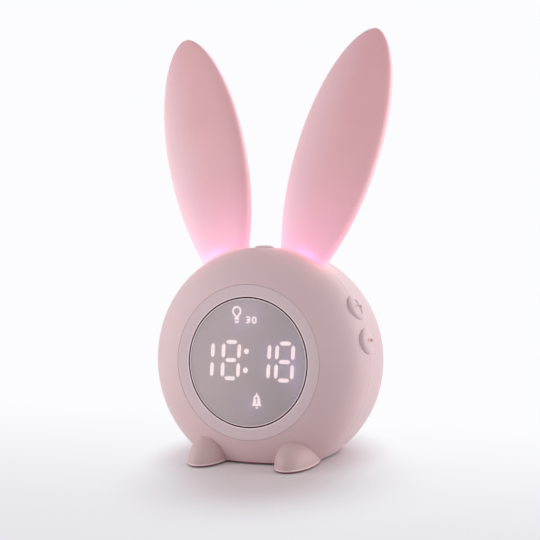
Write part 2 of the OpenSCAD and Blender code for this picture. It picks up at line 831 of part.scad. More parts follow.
// The ear's skin from the flange up to the tip, then its cavity back down to the opening.
function ear_rings() = concat(
  [ear_ring(-ear_stem - ear_flange_h, ear_root_w / 2 + ear_flange_w, ear_thick / 2 + ear_flange_w),
   ear_ring(-ear_stem, ear_root_w / 2 + ear_flange_w, ear_thick / 2 + ear_flange_w),
   ear_ring(-ear_stem, ear_root_w / 2, ear_thick / 2)],
  [for (i = [0 : ear_steps - 1])
    let (t = ear_share(i, ear_steps, 1))
      ear_ring(t * ear_len, ear_half_w(t), ear_half_t(t))],
  [ear_ring(ear_len, 0.6, 0.2)],
  [for (i = [cavity_steps : -1 : 0])
    let (t = ear_share(i, cavity_steps, cavity_end))
      ear_ring(t * ear_len, ear_half_w(t) - ear_wall, ear_half_t(t) - ear_wall)],
  [ear_ring(-ear_stem - ear_flange_h, ear_root_w / 2 - ear_wall, ear_thick / 2 - ear_wall)]
);

// One closed surface through rings of points, with a lid wherever two caps meet.
function ring_quad(i, j, n, wrap) =
  let (a = i * n + j, b = i * n + (j + 1) % n, c = wrap * n + (j + 1) % n, d = wrap * n + j)
    [a, d, c, b];

module ear_surface() {
  rings = ear_rings();
  count = len(rings);
  tip = 3 + ear_steps;
  sides = [for (i = [0 : count - 1]) if (i != tip)
    for (j = [0 : ear_sides - 1]) ring_quad(i, j, ear_sides, (i + 1) % count)];
  tip_lid = [for (j = [ear_sides - 1 : -1 : 0]) tip * ear_sides + j];
  cavity_lid = [for (j = [0 : ear_sides - 1]) (tip + 1) * ear_sides + j];
  polyhedron(points = [for (ring = rings, p = ring) p], faces = concat(sides, [tip_lid, cavity_lid]));
}

// A straight prism with the outline of the ear's stem, grown by a gap, from z0 to z1.
module ear_prism(grow, z0, z1) {
  translate([0, 0, z0]) linear_extrude(z1 - z0)
    polygon(ring_points(ear_root_w / 2 + grow, ear_thick / 2 + grow, ear_section));
}

module ear(side) {
  color(ear_pink) lean() at_ear(side) ear_surface();
}
module left_ear() ear(-1);
module right_ear() ear(1);

// Board under an ear's flange.
ear_board_len = ear_root_w - 1;
ear_board_w = ear_thick - 1;
module ear_board(side) {
  top = -ear_stem - ear_flange_h;
  color(board_green) lean() at_ear(side)
    block([-ear_board_len / 2, -ear_board_w / 2, top - board_thick],
          [ear_board_len / 2, ear_board_w / 2, top]);
}
module left_ear_board() ear_board(-1);
module right_ear_board() ear_board(1);

// Three lamps on that board, which shine up into the ear.
module ear_leds(side) {
  base = -ear_stem - ear_flange_h;
  color(lit_white) lean() at_ear(side)
    for (x = [-5, 0, 5]) block([x - 1.75, -1.4, base], [x + 1.75, 1.4, base + 1.4]);
}
module left_ear_leds() ear_leds(-1);
module right_ear_leds() ear_leds(1);

// ---------------------------------------------------------------- keys

// How far the keys on one side lie behind the widest plane.
function key_y(side) = side > 0 ? -key_forward : key_behind;

// Puts its children in a side key's frame: Z runs out of the case through the key.
module at_key(side, angle) {
  translate([0, key_y(side), 0]) rotate([0, side * (90 - angle), 0]) children();
}

// Puts its children in a key board's frame: Z runs out of the case, X climbs along the board.
module at_key_board(side) {
  translate([0, key_y(side), 0]) rotate([0, side * (90 - key_axis_angle), 0])
    mirror([side > 0 ? 1 : 0, 0, 0]) children();
}

// Place of a side key's switch along its board.
function switch_step(angle) = side_key_in * sin(angle - key_axis_angle);

// A domed cap with a flange inside the case.
module key_cap(d, z_in, z_top, dome_h) {
  dome_r = (pow(d / 2, 2) + pow(dome_h, 2)) / (2 * dome_h);
  translate([0, 0, z_in]) cylinder(d = d + 2 * key_flange_w, h = key_flange_h);
  translate([0, 0, z_in]) cylinder(d = d, h = z_top - dome_h - z_in);
  intersection() {
    translate([0, 0, z_top - dome_r]) sphere(r = dome_r);
    translate([0, 0, z_top - dome_h - 0.01]) cylinder(d = d, h = dome_h + 0.01);
  }
}

// Signs on the keys.
module sign_bar(w, h) {
  square([w, h], center = true);
}
module minus_sign() sign_bar(key_sign_w, key_sign_line);
module plus_sign() {
  sign_bar(key_sign_w, key_sign_line);
  sign_bar(key_sign_line, key_sign_w);
}
module clock_sign() {
  difference() {
    circle(d = key_sign_w);
    circle(d = key_sign_w - 2 * key_sign_line);
  }
  translate([0, key_sign_w / 8]) sign_bar(0.6 * key_sign_line, key_sign_w / 4);
}

// A side key with its sign and the stem that reaches its plunger.
module side_key(side, angle) {
  top = case_r + side_key_proud;
  color(key_pink) lean() {
    difference() {
      at_key(side, angle) key_cap(side_key_d, side_key_in, top, side_key_dome_h);
      at_key(side, angle) translate([0, 0, top - key_sign_cut]) rotate([0, 0, side * 90])
        linear_extrude(2) children();
    }
    at_key_board(side) translate([switch_step(angle), 0, plunger_top])
      cylinder(r = stem_r, h = side_key_in * cos(key_offset_angle) - plunger_top + 0.4);
  }
}
module plus_key() side_key(1, upper_key_angle) plus_sign();
module minus_key() side_key(1, lower_key_angle) minus_sign();
module set_key() side_key(-1, upper_key_angle) clock_sign();

module top_key() {
  color(key_pink) lean() {
    key_cap(top_key_d, top_key_in, top_flat_z + top_key_proud, top_key_dome_h);
    translate([0, 0, top_plunger_top]) cylinder(r = stem_r, h = top_key_in - top_plunger_top + 0.4);
  }
}

// A switch with a blind bore for its plunger, with its foot at the origin.
module switch_body() {
  color(chip_black) difference() {
    block([-switch_side / 2, -switch_side / 2, 0], [switch_side / 2, switch_side / 2, switch_h]);
    translate([0, 0, switch_h - plunger_sunk - 0.2]) cylinder(r = plunger_r + fit_gap, h = switch_h);
  }
}
module plunger() {
  color(white_plastic) translate([0, 0, switch_h - plunger_sunk + key_travel])
    cylinder(r = plunger_r, h = plunger_sunk - key_travel + plunger_out);
}
module at_side_switch(side, angle) {
  lean() at_key_board(side) translate([switch_step(angle), 0, side_board_face]) children();
}
module at_top_switch() {
  lean() translate([0, 0, top_board_face]) children();
}
module plus_switch() at_side_switch(1, upper_key_angle) switch_body();
module minus_switch() at_side_switch(1, lower_key_angle) switch_body();
module set_switch() at_side_switch(-1, upper_key_angle) switch_body();
module top_switch() at_top_switch() switch_body();
module plus_plunger() at_side_switch(1, upper_key_angle) plunger();
module minus_plunger() at_side_switch(1, lower_key_angle) plunger();
module set_plunger() at_side_switch(-1, upper_key_angle) plunger();
module top_plunger() at_top_switch() plunger();

// Boards behind the keys. The rear shell's posts hold them.
module key_board(side) {
  color(board_green) lean() at_key_board(side) difference() {
    block([-key_board_len / 2, key_board_back - key_board_w, side_board_face - board_thick],
          [key_board_len / 2, key_board_back, side_board_face]);
    for (x = key_post_steps) translate([x, key_post_y, 0]) cylinder(r = small_hole_r, h = case_r);
  }
}
module right_key_board() key_board(1);
module left_key_board() key_board(-1);

module top_key_board() {
  color(board_green) lean() difference() {
    block([-top_board_w / 2, -top_board_front, top_board_face - board_thick],
          [top_board_w / 2, top_board_back, top_board_face]);
    for (x = [-1, 1]) translate([x * top_post_x, top_post_y, 0]) cylinder(r = small_hole_r, h = case_r);
  }
}

// Posts and pilot holes in the rear shell for the key boards.
module side_key_posts() {
  for (side = [-1, 1], x = key_post_steps) at_key_board(side)
    translate([x, key_post_y, side_board_face]) cylinder(r = key_post_r, h = case_r - side_board_face);
}
module side_key_pilots() {
  for (side = [-1, 1], x = key_post_steps) at_key_board(side)
    translate([x, key_post_y, side_board_face - 1]) cylinder(r = small_pilot_r, h = small_screw_len + 1);
}
module top_key_posts() {
  for (x = [-1, 1]) translate([x * top_post_x, top_post_y, top_board_face])
    cylinder(r = key_post_r, h = case_r - top_board_face);
}
module top_key_pilots() {
  for (x = [-1, 1]) translate([x * top_post_x, top_post_y, top_board_face - 1])
    cylinder(r = small_pilot_r, h = small_screw_len + 1);
}

// ---------------------------------------------------------------- main board

module at_main_posts() {
  for (x = [-1, 1], z = [-1, 1])
    translate([x * main_post_x, 0, main_board_z + z * main_post_dz]) children();
}
module main_board_posts() {
  at_main_posts() rod_y(main_post_r, main_board_back, rear_depth);
}
module main_board_pilots() {
  at_main_posts() rod_y(small_pilot_r, main_board_back - 1, main_board_back + 3);
}

module main_board() {
  color(board_green) lean() difference() {
    block([-main_board_w / 2, main_board_y, main_board_z - main_board_h / 2],
          [main_board_w / 2, main_board_back, main_board_z + main_board_h / 2]);
    at_main_posts() rod_y(small_hole_r, main_board_y - 1, main_board_back + 1);
  }
}

module clock_chip() {
  w = main_board_w;
  h = main_board_h;
  color(chip_black) lean() block([-0.35 * w, main_board_y - board_thick, main_board_z - 0.3 * h],
                                 [-0.125 * w, main_board_y, main_board_z + 0.04 * h]);
}

// Charging socket, a metal sleeve with a tongue inside, which opens at the back.
module charge_socket() {
  sleeve = 0.35;
  color(steel) lean() {
    difference() {
      block([-socket_w / 2, main_board_back, main_board_z - socket_h / 2],
            [socket_w / 2, socket_nose, main_board_z + socket_h / 2]);
      block([-socket_w / 2 + sleeve, main_board_back + 1.5, main_board_z - socket_h / 2 + sleeve],
            [socket_w / 2 - sleeve, socket_nose + 1, main_board_z + socket_h / 2 - sleeve]);
    }
    block([-socket_w / 4, main_board_back + 1, main_board_z - 0.35],
          [socket_w / 4, socket_nose - 1.5, main_board_z + 0.35]);
  }
}
module socket_opening() {
  block([-socket_w / 2 - inner_gap, main_board_back + 2, main_board_z - socket_h / 2 - inner_gap],
        [socket_w / 2 + inner_gap, rear_depth + 1, main_board_z + socket_h / 2 + inner_gap]);
}

// Flat ribbon between the display board and the main board, as a strip seen from the side.
display_board_back = -light_box_back + board_thick;
module display_ribbon() {
  route = [[display_board_back + 0.8, ribbon_display_z], [2, ribbon_display_z], [6, ribbon_display_z + 1.5],
           [24, ribbon_main_z - 1.5], [28, ribbon_main_z], [main_board_y - 0.8, ribbon_main_z]];
  upper = [for (p = route) [p[0], p[1] + ribbon_thick]];
  lower = [for (i = [len(route) - 1 : -1 : 0]) route[i]];
  color(ribbon_white) lean() translate([-ribbon_w / 2, 0, 0]) rotate([90, 0, 90])
    linear_extrude(ribbon_w) polygon(concat(upper, lower));
}

// The two sockets that hold the ribbon's ends.
module ribbon_socket(y0, y1, z, slot0, slot1) {
  half = ribbon_w / 2 + 1;
  difference() {
    block([-half, y0, z - 1.2], [half, y1, z + 1.2 + ribbon_thick]);
    block([-ribbon_w / 2 - fit_gap, slot0, z - fit_gap],
          [ribbon_w / 2 + fit_gap, slot1, z + ribbon_thick + fit_gap]);
  }
}
module ribbon_sockets() {
  color(white_plastic) lean() {
    ribbon_socket(display_board_back, display_board_back + ribbon_socket_h, ribbon_display_z,
                  display_board_back + 0.75, display_board_back + 3);
    ribbon_socket(main_board_y - ribbon_socket_h, main_board_y, ribbon_main_z,
                  main_board_y - 3, main_board_y - 0.75);
  }
}

// ---------------------------------------------------------------- speaker

module at_speaker() {
  translate([0, 0, speaker_z]) children();
}
module at_clamp_screws() {
  at_speaker() for (a = clamp_screw_angles)
    translate([clamp_screw_r * cos(a), 0, clamp_screw_r * sin(a)]) children();
}

// Seat ring and screw posts of the speaker, inside the back.
module speaker_posts() {
  flange_front = speaker_seat_y - speaker_flange_h;
  at_speaker() difference() {
    rod_y(speaker_r, speaker_seat_y, rear_depth);
    rod_y(speaker_r - 1.6, speaker_seat_y - 1, rear_depth + 1);
  }
  at_clamp_screws() rod_y(main_post_r, flange_front, rear_depth);
}
module speaker_pilots() {
  flange_front = speaker_seat_y - speaker_flange_h;
  at_clamp_screws() rod_y(small_pilot_r, flange_front - 1, flange_front + 3);
}

// Holes over the speaker, in rings of 1, 6 and 12.
module grille_holes() {
  at_speaker() for (ring = [0 : 2], i = [0 : max(0, 6 * ring - 1)])
    let (a = 360 * i / max(1, 6 * ring))
      rod_y(grille_hole_d / 2, speaker_seat_y - 1, rear_depth + 1,
            ring * grille_pitch * cos(a), ring * grille_pitch * sin(a));
}

module speaker_frame() {
  y = speaker_seat_y;
  r = speaker_r;
  f = y - speaker_flange_h;
  color(steel) lean() at_speaker() turned([
    [0.917 * r, f], [0.989 * r, f], [0.989 * r, y], [0.878 * r, y], [0.856 * r, f - 0.022 * r],
    [0.533 * r, y - 0.44 * speaker_depth], [0.222 * r, y - 0.44 * speaker_depth],
    [0.222 * r, y - 0.54 * speaker_depth], [0.5 * r, y - 0.54 * speaker_depth]]);
}
module speaker_cone() {
  y = speaker_seat_y;
  r = 0.861 * speaker_r;
  h = speaker_depth / 10;
  color(cone_black) lean() at_speaker() turned([
    [0, y - 3.2 * h], [r / 3, y - 3.6 * h], [r, y - 0.2 * h], [r, y - 0.8 * h],
    [r / 3, y - 4.2 * h], [0, y - 3.8 * h]]);
}
module speaker_magnet() {
  y = speaker_seat_y - 0.54 * speaker_depth;
  color(chip_black) lean() at_speaker() rod_y(speaker_r / 2, y - 0.42 * speaker_depth, y);
}

// Ring that holds the speaker's flange on its seat, with three lugs.
module speaker_clamp() {
  y1 = speaker_seat_y - speaker_flange_h;
  y0 = y1 - clamp_h;
  lug = 2.4;
  color(white_plastic) lean() difference() {
    union() {
      at_speaker() rod_y(speaker_r + 1, y0, y1);
      at_clamp_screws() rod_y(lug, y0, y1);
      at_speaker() for (a = clamp_screw_angles) rotate([0, -a, 0])
        block([speaker_r - 1, y0, 0.4 - lug], [clamp_screw_r, y1, lug - 0.4]);
    }
    at_speaker() rod_y(speaker_r - 1.4, y0 - 1, y1 + 1);
    at_clamp_screws() rod_y(small_hole_r, y0 - 1, y1 + 1);
  }
}

// ---------------------------------------------------------------- battery

battery_z = floor_z + foam_h;
battery_back = battery_front + battery_w;
module battery() {
  edge = 1.2;
  color(cell_silver) {
    block([-battery_len / 2 + edge, battery_front, battery_z],
          [battery_len / 2 - edge, battery_back, battery_z + battery_h]);
    block([-battery_len / 2, battery_front + edge, battery_z + edge],
          [battery_len / 2, battery_back - edge, battery_z + battery_h - edge]);
  }
}
module battery_foam() {
  inset = 2;
  color(foam_grey) block([-battery_len / 2 + inset, battery_front + inset, floor_z],
                         [battery_len / 2 - inset, battery_back - inset, battery_z]);
}
module battery_ribs() {
  x0 = battery_len / 2 + inner_gap;
  for (s = [-1, 1])
    block([s > 0 ? x0 : -x0 - rib_wall, battery_front + 4, floor_z - 0.5],
          [s > 0 ? x0 + rib_wall : -x0, battery_back - 6, floor_z + rib_h]);
}

// ---------------------------------------------------------------- feet and pad

// Share of a foot's full width and length at a height, with a rounded sole and a domed top.
function foot_share(z) = pow(1 - pow(z / foot_h, foot_dome), 0.62)
  * (1 - foot_sole_in * pow(max(0, 1 - z / sole_edge_h), 2));
function foot_ring(z) = [
  for (i = [0 : foot_sides - 1])
    let (a = 360 * i / foot_sides, k = foot_share(z))
      [k * foot_w / 2 * cos(a), k * foot_len / 2 * sin(a) + foot_rake * z, z]
];

// An oval dome, cut off where it meets the round case.
module foot(side) {
  heights = [for (i = [0 : 4]) sole_edge_h * i / 4, for (i = [1 : foot_steps - 1])
    sole_edge_h + (foot_h - sole_edge_h) * sin(90 * i / foot_steps)];
  count = len(heights);
  walls = [for (i = [0 : count - 2], j = [0 : foot_sides - 1]) ring_quad(i, j, foot_sides, i + 1)];
  sole = [for (j = [0 : foot_sides - 1]) j];
  crown = [for (j = [foot_sides - 1 : -1 : 0]) (count - 1) * foot_sides + j];
  color(foot_pink) difference() {
    translate([side * foot_x, -foot_forward, 0])
      polyhedron(points = [for (z = heights, p = foot_ring(z)) p], faces = concat(walls, [sole, crown]));
    lean() turned(case_profile(-foot_gap));
  }
  color(foot_pink) foot_peg(side, 0);
}

// Peg on the back of a foot, pushed into the front shell.
module foot_peg(side, grow) {
  translate([side * (foot_x + 1), -foot_forward - peg_out, foot_h / 2 + 0.5]) rotate([-90, 0, 0])
    cylinder(r = peg_r + grow, h = peg_len + grow);
}
module left_foot() foot(-1);
module right_foot() foot(1);

module grip_pad() {
  color(foam_grey) pad_shape(0, 0, pad_thick);
}

// ---------------------------------------------------------------- screws

// A screw whose head is under the origin, with its shank along +Z.
module screw(d, length, head_d, head_h) {
  translate([0, 0, -head_h]) cylinder(d = head_d, h = head_h);
  cylinder(d = d, h = length);
}
module small_screw() {
  screw(small_screw_d, small_screw_len - 0.4, small_screw_head_d, small_screw_head_h);
}

module case_screws() {
  color(steel) lean() at_case_screws() translate([0, case_head_y, 0]) rotate([90, 0, 0])
    screw(case_screw_d, case_screw_len, case_screw_head_d, case_screw_head_h);
}

module small_screws() {
  color(steel) lean() {
    at_display_lugs() translate([0, -seat_back + box_flange_h, 0]) rotate([90, 0, 0]) small_screw();
    for (p = film_screw_places)
      translate([p[0], -light_box_back + board_thick, p[1]]) rotate([90, 0, 0]) small_screw();
    at_main_posts() translate([0, main_board_y, 0]) rotate([-90, 0, 0]) small_screw();
    at_clamp_screws() translate([0, speaker_seat_y - speaker_flange_h - clamp_h, 0])
      rotate([-90, 0, 0]) small_screw();
    for (side = [-1, 1], x = key_post_steps) at_key_board(side)
      translate([x, key_post_y, side_board_face - board_thick]) small_screw();
    for (x = [-1, 1]) translate([x * top_post_x, top_post_y, top_board_face - board_thick]) small_screw();
  }
}

front_shell();
rear_shell();
face_ring();
display_window();
window_gasket();
mask_film();
light_box();
hour_digits();
minute_digits();
colon_dots();
lamp_symbol();
timer_mark();
bell_symbol();
display_board();
display_leds();
left_ear();
right_ear();
left_ear_board();
right_ear_board();
left_ear_leds();
right_ear_leds();
top_key();
plus_key();
minus_key();
set_key();
top_plunger();
plus_plunger();
minus_plunger();
set_plunger();
top_switch();
plus_switch();
minus_switch();
set_switch();
top_key_board();
right_key_board();
left_key_board();
main_board();
clock_chip();
charge_socket();
display_ribbon();
ribbon_sockets();
speaker_frame();
speaker_cone();
speaker_magnet();
speaker_clamp();
battery();
battery_foam();
left_foot();
right_foot();
grip_pad();
case_screws();
small_screws();
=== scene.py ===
"""Finished look of a bedside alarm clock with two glowing ears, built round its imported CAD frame.

Every shape is worked out in millimetres, in the case's own upright frame or on the ground, and is
placed in metres at the end. Surfaces are whole numpy grids of two parameters.
"""

import logging
import math
from dataclasses import dataclass, field
from enum import Enum
from typing import Callable, Dict, List, Mapping, Optional, Sequence, Tuple, Union

import bmesh
import bpy
import numpy as np
from mathutils import Matrix, Vector


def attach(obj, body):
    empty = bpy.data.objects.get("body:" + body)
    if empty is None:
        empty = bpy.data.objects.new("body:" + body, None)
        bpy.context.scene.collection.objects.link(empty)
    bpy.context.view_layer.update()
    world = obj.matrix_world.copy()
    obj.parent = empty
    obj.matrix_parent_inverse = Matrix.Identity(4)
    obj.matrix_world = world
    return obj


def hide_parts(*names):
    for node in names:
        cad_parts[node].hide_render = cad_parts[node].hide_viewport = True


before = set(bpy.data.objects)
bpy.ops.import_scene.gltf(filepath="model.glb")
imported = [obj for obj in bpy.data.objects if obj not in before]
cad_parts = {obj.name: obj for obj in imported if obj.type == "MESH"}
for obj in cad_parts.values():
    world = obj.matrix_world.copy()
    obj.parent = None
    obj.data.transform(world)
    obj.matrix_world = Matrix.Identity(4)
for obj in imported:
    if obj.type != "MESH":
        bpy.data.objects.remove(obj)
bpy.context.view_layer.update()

LOG = logging.getLogger("eared_clock")
MM = 0.001
JOIN_DISTANCE = 1e-4
Array = np.ndarray
Colour = Tuple[float, float, float, float]
Spot = Tuple[float, float]
Spot3 = Tuple[float, float, float]
Pieces = Dict[str, bpy.types.Object]


# ---------------------------------------------------------------- placing


@dataclass(frozen=True)
class Rigid:
    """A turn and a shift, in millimetres."""

    turn: Array = field(default_factory=lambda: np.eye(3))
    shift: Spot3 = (0.0, 0.0, 0.0)

    def apply(self, points: Array) -> Array:
        """Returns the points, x, y and z in their last axis, turned about the origin and then shifted."""
        return points @ self.turn.T + np.asarray(self.shift)

    def after(self, inner: "Rigid") -> "Rigid":
        """Returns the placing that does inner first and this one after it."""
        return Rigid(self.turn @ inner.turn, tuple(self.apply(np.asarray(inner.shift, float))))

    def undone(self) -> "Rigid":
        """Returns the placing that takes this one back."""
        return Rigid(self.turn.T, tuple(-self.turn.T @ np.asarray(self.shift)))

    def matrix(self) -> Matrix:
        """Writes the placing as a 4 by 4 matrix.

        Returns:
            The matrix, its shift in this placing's own unit.
        """
        made = Matrix(self.turn.tolist()).to_4x4()
        made.translation = Vector(self.shift)
        return made


class Axis(Enum):
    """Axis that a turn goes round."""

    X = "X"
    Y = "Y"
    Z = "Z"


def turned_by(axis: Axis, degrees: float) -> Array:
    """Returns the 3 by 3 matrix of a right-handed turn about one axis."""
    return np.array(Matrix.Rotation(math.radians(degrees), 3, axis.value))


LEAN_BACK = 7.0
CENTRE_HEIGHT = 46.3
CASE = Rigid(turned_by(Axis.X, -LEAN_BACK), (0.0, 0.0, CENTRE_HEIGHT))
GROUND = Rigid()


# ---------------------------------------------------------------- surfaces


@dataclass
class Grid:
    """A surface as rows of points, with a note of what joins up with what.

    The array has the shape (rows, columns, 3). Columns always close round. Rows close round too
    if loop is set, and otherwise the first and last row each shrink to a point, as at a pole.
    """

    points: Array
    loop: bool = False

    def faces(self, start: int) -> Array:
        """Returns the quads between neighbouring rows and columns.

        Args:
            start: Number of the first vertex of this grid in its mesh.

        Returns:
            Array of four vertex numbers for each face.
        """
        rows, columns = self.points.shape[:2]
        last = rows if self.loop else rows - 1
        i, j = np.meshgrid(np.arange(last), np.arange(columns), indexing="ij")
        i2, j2 = (i + 1) % rows, (j + 1) % columns
        quad = np.stack([i * columns + j, i * columns + j2, i2 * columns + j2, i2 * columns + j], -1)
        return quad.reshape(-1, 4) + start


def even_steps(line: Array, count: int) -> Array:
    """Spaces a line's points evenly.

    Args:
        line: Points of the line, one in each row.
        count: How many points it gets.

    Returns:
        Points at equal distances along the same line.
    """
    length = np.concatenate([[0.0], np.cumsum(np.linalg.norm(np.diff(line, axis=0), axis=1))])
    where = np.linspace(0.0, length[-1], count)
    return np.stack([np.interp(where, length, line[:, k]) for k in range(line.shape[1])], -1)


def softened(corners: Sequence[Spot3], steps: int = 6, closed: bool = True) -> Array:
    """Rounds the corners of a flat outline.

    Each corner becomes a curve between two points on its sides, both at the corner's own distance
    from it: the quadratic curve (1-t)^2 a + 2t(1-t) corner + t^2 b.

    Args:
        corners: The outline's corners as first coordinate, second coordinate and rounding.
        steps: How many pieces each rounded corner has.
        closed: Whether the last corner joins the first.

    Returns:
        The outline's points, two coordinates in each row.
    """
    spots = np.array([c[:2] for c in corners], float)
    radii = np.array([c[2] for c in corners], float)
    if not closed:
        radii[[0, -1]] = 0.0
    back, ahead = np.roll(spots, 1, 0) - spots, np.roll(spots, -1, 0) - spots
    size_back = np.linalg.norm(back, axis=1, keepdims=True)
    size_ahead = np.linalg.norm(ahead, axis=1, keepdims=True)
    reach = np.minimum(radii[:, None], 0.49 * np.minimum(size_back, size_ahead))
    a, b = spots + back / size_back * reach, spots + ahead / size_ahead * reach
    t = np.linspace(0.0, 1.0, steps + 1)[:, None]
    parts = [
        (1 - t) ** 2 * a[k] + 2 * t * (1 - t) * spots[k] + t**2 * b[k] if radii[k] > 0 else spots[k : k + 1]
        for k in range(len(spots))
    ]
    return np.concatenate(parts)


def full_turn(count: int) -> Array:
    """Returns so many angles at even steps round a full turn."""
    return np.linspace(0.0, 2 * math.pi, count, endpoint=False)


def round_outline(radius: float, count: int) -> Array:
    """Returns a circle's points (r cos a, r sin a)."""
    a = full_turn(count)
    return radius * np.stack([np.cos(a), np.sin(a)], -1)


def box_outline(half_x: float, half_y: float, corner: float, steps: int) -> Array:
    """Returns a rectangle's outline round the origin, its corners rounded in so many steps."""
    x, y = half_x, half_y
    return softened([(-x, -y, corner), (x, -y, corner), (x, y, corner), (-x, y, corner)], steps)


def squarish_outline(
    half_x: Union[float, Array], half_y: Union[float, Array], power: float, count: int
) -> Array:
    """Superellipse points: x = a sign(c)|c|^(2/n), y = b sign(s)|s|^(2/n).

    Half of the spacing follows the length round the outline and half follows how much it turns.

    Args:
        half_x: Half size across, one number or one for each ring.
        half_y: Half size through, one number or one for each ring.
        power: Roundness n, where 2 is an ellipse and more is squarer.
        count: How many points go round.

    Returns:
        Array of (rings, count, 2), or (count, 2) where the sizes are single numbers.
    """
    t = np.linspace(0.0, 2 * math.pi, 4001)
    c, s = np.cos(t), np.sin(t)
    size = np.array([np.max(half_x), np.max(half_y)])
    shape = np.stack([np.sign(c) * np.abs(c) ** (2 / power), np.sign(s) * np.abs(s) ** (2 / power)], -1)
    line = shape * size
    step = np.diff(line, axis=0)
    heading = np.unwrap(np.arctan2(step[:, 1], step[:, 0]))
    length = np.cumsum(np.hypot(step[:, 0], step[:, 1]))
    turned = np.cumsum(np.abs(np.diff(heading, prepend=heading[0])))
    measure = np.concatenate([[0.0], length / length[-1] + turned / turned[-1]])
    where = np.linspace(0.0, 2.0, count, endpoint=False)
    unit = np.stack([np.interp(where, measure, line[:, k]) for k in (0, 1)], -1) / size
    scale = np.stack(np.broadcast_arrays(np.asarray(half_x, float), np.asarray(half_y, float)), -1)
    return unit * scale if scale.ndim == 1 else unit[None] * scale[:, None, :]


def lathe(profile: Array, columns: int, loop: bool = False) -> Grid:
    """Turns a profile about the front to back axis: (r cos a, y, r sin a).

    Args:
        profile: Points as distance from the axis and y.
        columns: How many points go round.
        loop: Whether the profile's end joins its start.

    Returns:
        The grid of the turned surface.
    """
    a = full_turn(columns)
    r, y = profile[:, :1], profile[:, 1:]
    return Grid(np.stack([r * np.cos(a), y + 0 * a, r * np.sin(a)], -1), loop)


def tower(rings: Array, heights: Sequence[float]) -> Grid:
    """Puts flat rings at their heights along Z.

    Args:
        rings: Array of (rings, columns, 2) that holds x and y.
        heights: The height of each ring.

    Returns:
        The grid of the surface through all the rings.
    """
    tall = np.broadcast_to(np.asarray(heights, float)[:, None, None], rings.shape[:2] + (1,))
    return Grid(np.concatenate([rings, tall], -1))


def pillar(profile: Array, columns: int) -> Grid:
    """Turns a profile about the upright axis: (r cos a, r sin a, z), from points of r and z."""
    return tower(profile[:, None, :1] * round_outline(1.0, columns), profile[:, 1])


def stack(outline: Array, low: float, high: float) -> Grid:
    """Returns a flat outline raised along Z into a closed prism, with a point in the middle of each end."""
    middle = outline.mean(0) + 0 * outline
    return tower(np.stack([middle, outline, outline, middle]), [low, low, high, high])


def capped(rings: Array) -> Grid:
    """Returns the grid of a tube that closes at the middles of its first and its last ring."""
    first, last = (rings[k].mean(0) + 0 * rings[k] for k in (0, -1))
    return Grid(np.concatenate([first[None], rings, last[None]]))


def moved(grid: Grid, place: Rigid) -> Grid:
    """Returns the grid put in its place."""
    return Grid(place.apply(grid.points), grid.loop)


def linked(name: str, data: bpy.types.ID) -> bpy.types.Object:
    """Puts a new object in the scene, at the origin.

    Args:
        name: Name of the object.
        data: The mesh, light or camera that it shows.

    Returns:
        The new object.
    """
    made = bpy.data.objects.new(name, data)
    bpy.context.scene.collection.objects.link(made)
    return made


def as_object(name: str, grids: Sequence[Grid], place: Rigid) -> bpy.types.Object:
    """Makes one mesh object of closed grids, with seams and poles joined and faces outward.

    Args:
        name: Name of the object.
        grids: The surfaces it is made of.
        place: Where they go.

    Returns:
        The new object, at the origin, with its mesh in millimetres.
    """
    starts = np.cumsum([0] + [g.points.shape[0] * g.points.shape[1] for g in grids])
    points = np.concatenate([place.apply(g.points).reshape(-1, 3) for g in grids])
    faces = np.concatenate([g.faces(s) for g, s in zip(grids, starts)])
    mesh = bpy.data.meshes.new(name)
    mesh.from_pydata(points.tolist(), [], faces.tolist())
    made = linked(name, mesh)
    work = bmesh.new()
    work.from_mesh(mesh)
    bmesh.ops.remove_doubles(work, verts=work.verts, dist=JOIN_DISTANCE)
    bmesh.ops.dissolve_degenerate(work, edges=work.edges, dist=JOIN_DISTANCE * 0.5)
    bmesh.ops.recalc_face_normals(work, faces=work.faces)
    work.to_mesh(mesh)
    work.free()
    mesh.update()
    return made


def carved(body: bpy.types.Object, grids: Sequence[Grid], place: Rigid) -> None:
    """Takes the space inside closed grids out of a body.

    Args:
        body: The object that is cut, in millimetres.
        grids: The surfaces round what is taken out.
        place: Where they go.
    """
    cutter = as_object("cut", grids, place)
    step = body.modifiers.new("carve", "BOOLEAN")
    step.operation = "DIFFERENCE"
    step.solver = "EXACT"
    step.object = cutter
    bpy.context.view_layer.update()
    result = bpy.data.meshes.new_from_object(body.evaluated_get(bpy.context.evaluated_depsgraph_get()))
    old = body.data
    body.modifiers.clear()
    body.data = result
    bpy.data.meshes.remove(old)
    bpy.data.objects.remove(cutter)


def finished(piece: bpy.types.Object, crease: Optional[float] = None) -> bpy.types.Object:
    """Turns a mesh drawn in millimetres into metres and shades it.

    Args:
        piece: The object.
        crease: Angle in degrees from which an edge stays sharp. Without it all faces stay flat.

    Returns:
        The same object.
    """
    piece.data.transform(Matrix.Scale(MM, 4))
    piece.data.update()
    if crease is not None:
        piece.data.polygons.foreach_set("use_smooth", np.ones(len(piece.data.polygons), bool))
        piece.data.set_sharp_from_angle(angle=math.radians(crease))
    return piece


# ---------------------------------------------------------------- shader maths


def srgb(red: float, green: float, blue: float) -> Colour:
    """Works out a linear colour.

    Args:
        red: Display value of red, from 0 to 255.
        green: Display value of green.
        blue: Display value of blue.

    Returns:
        The linear colour, with an alpha of 1.
    """
    v = np.array([red, green, blue]) / 255
    linear = np.where(v <= 0.04045, v / 12.92, ((v + 0.055) / 1.055) ** 2.4)
    return (float(linear[0]), float(linear[1]), float(linear[2]), 1.0)


DARK: Colour = (0.0, 0.0, 0.0, 1.0)
NEAR_WHITE = srgb(252, 252, 254)
Number = Union["Signal", float]


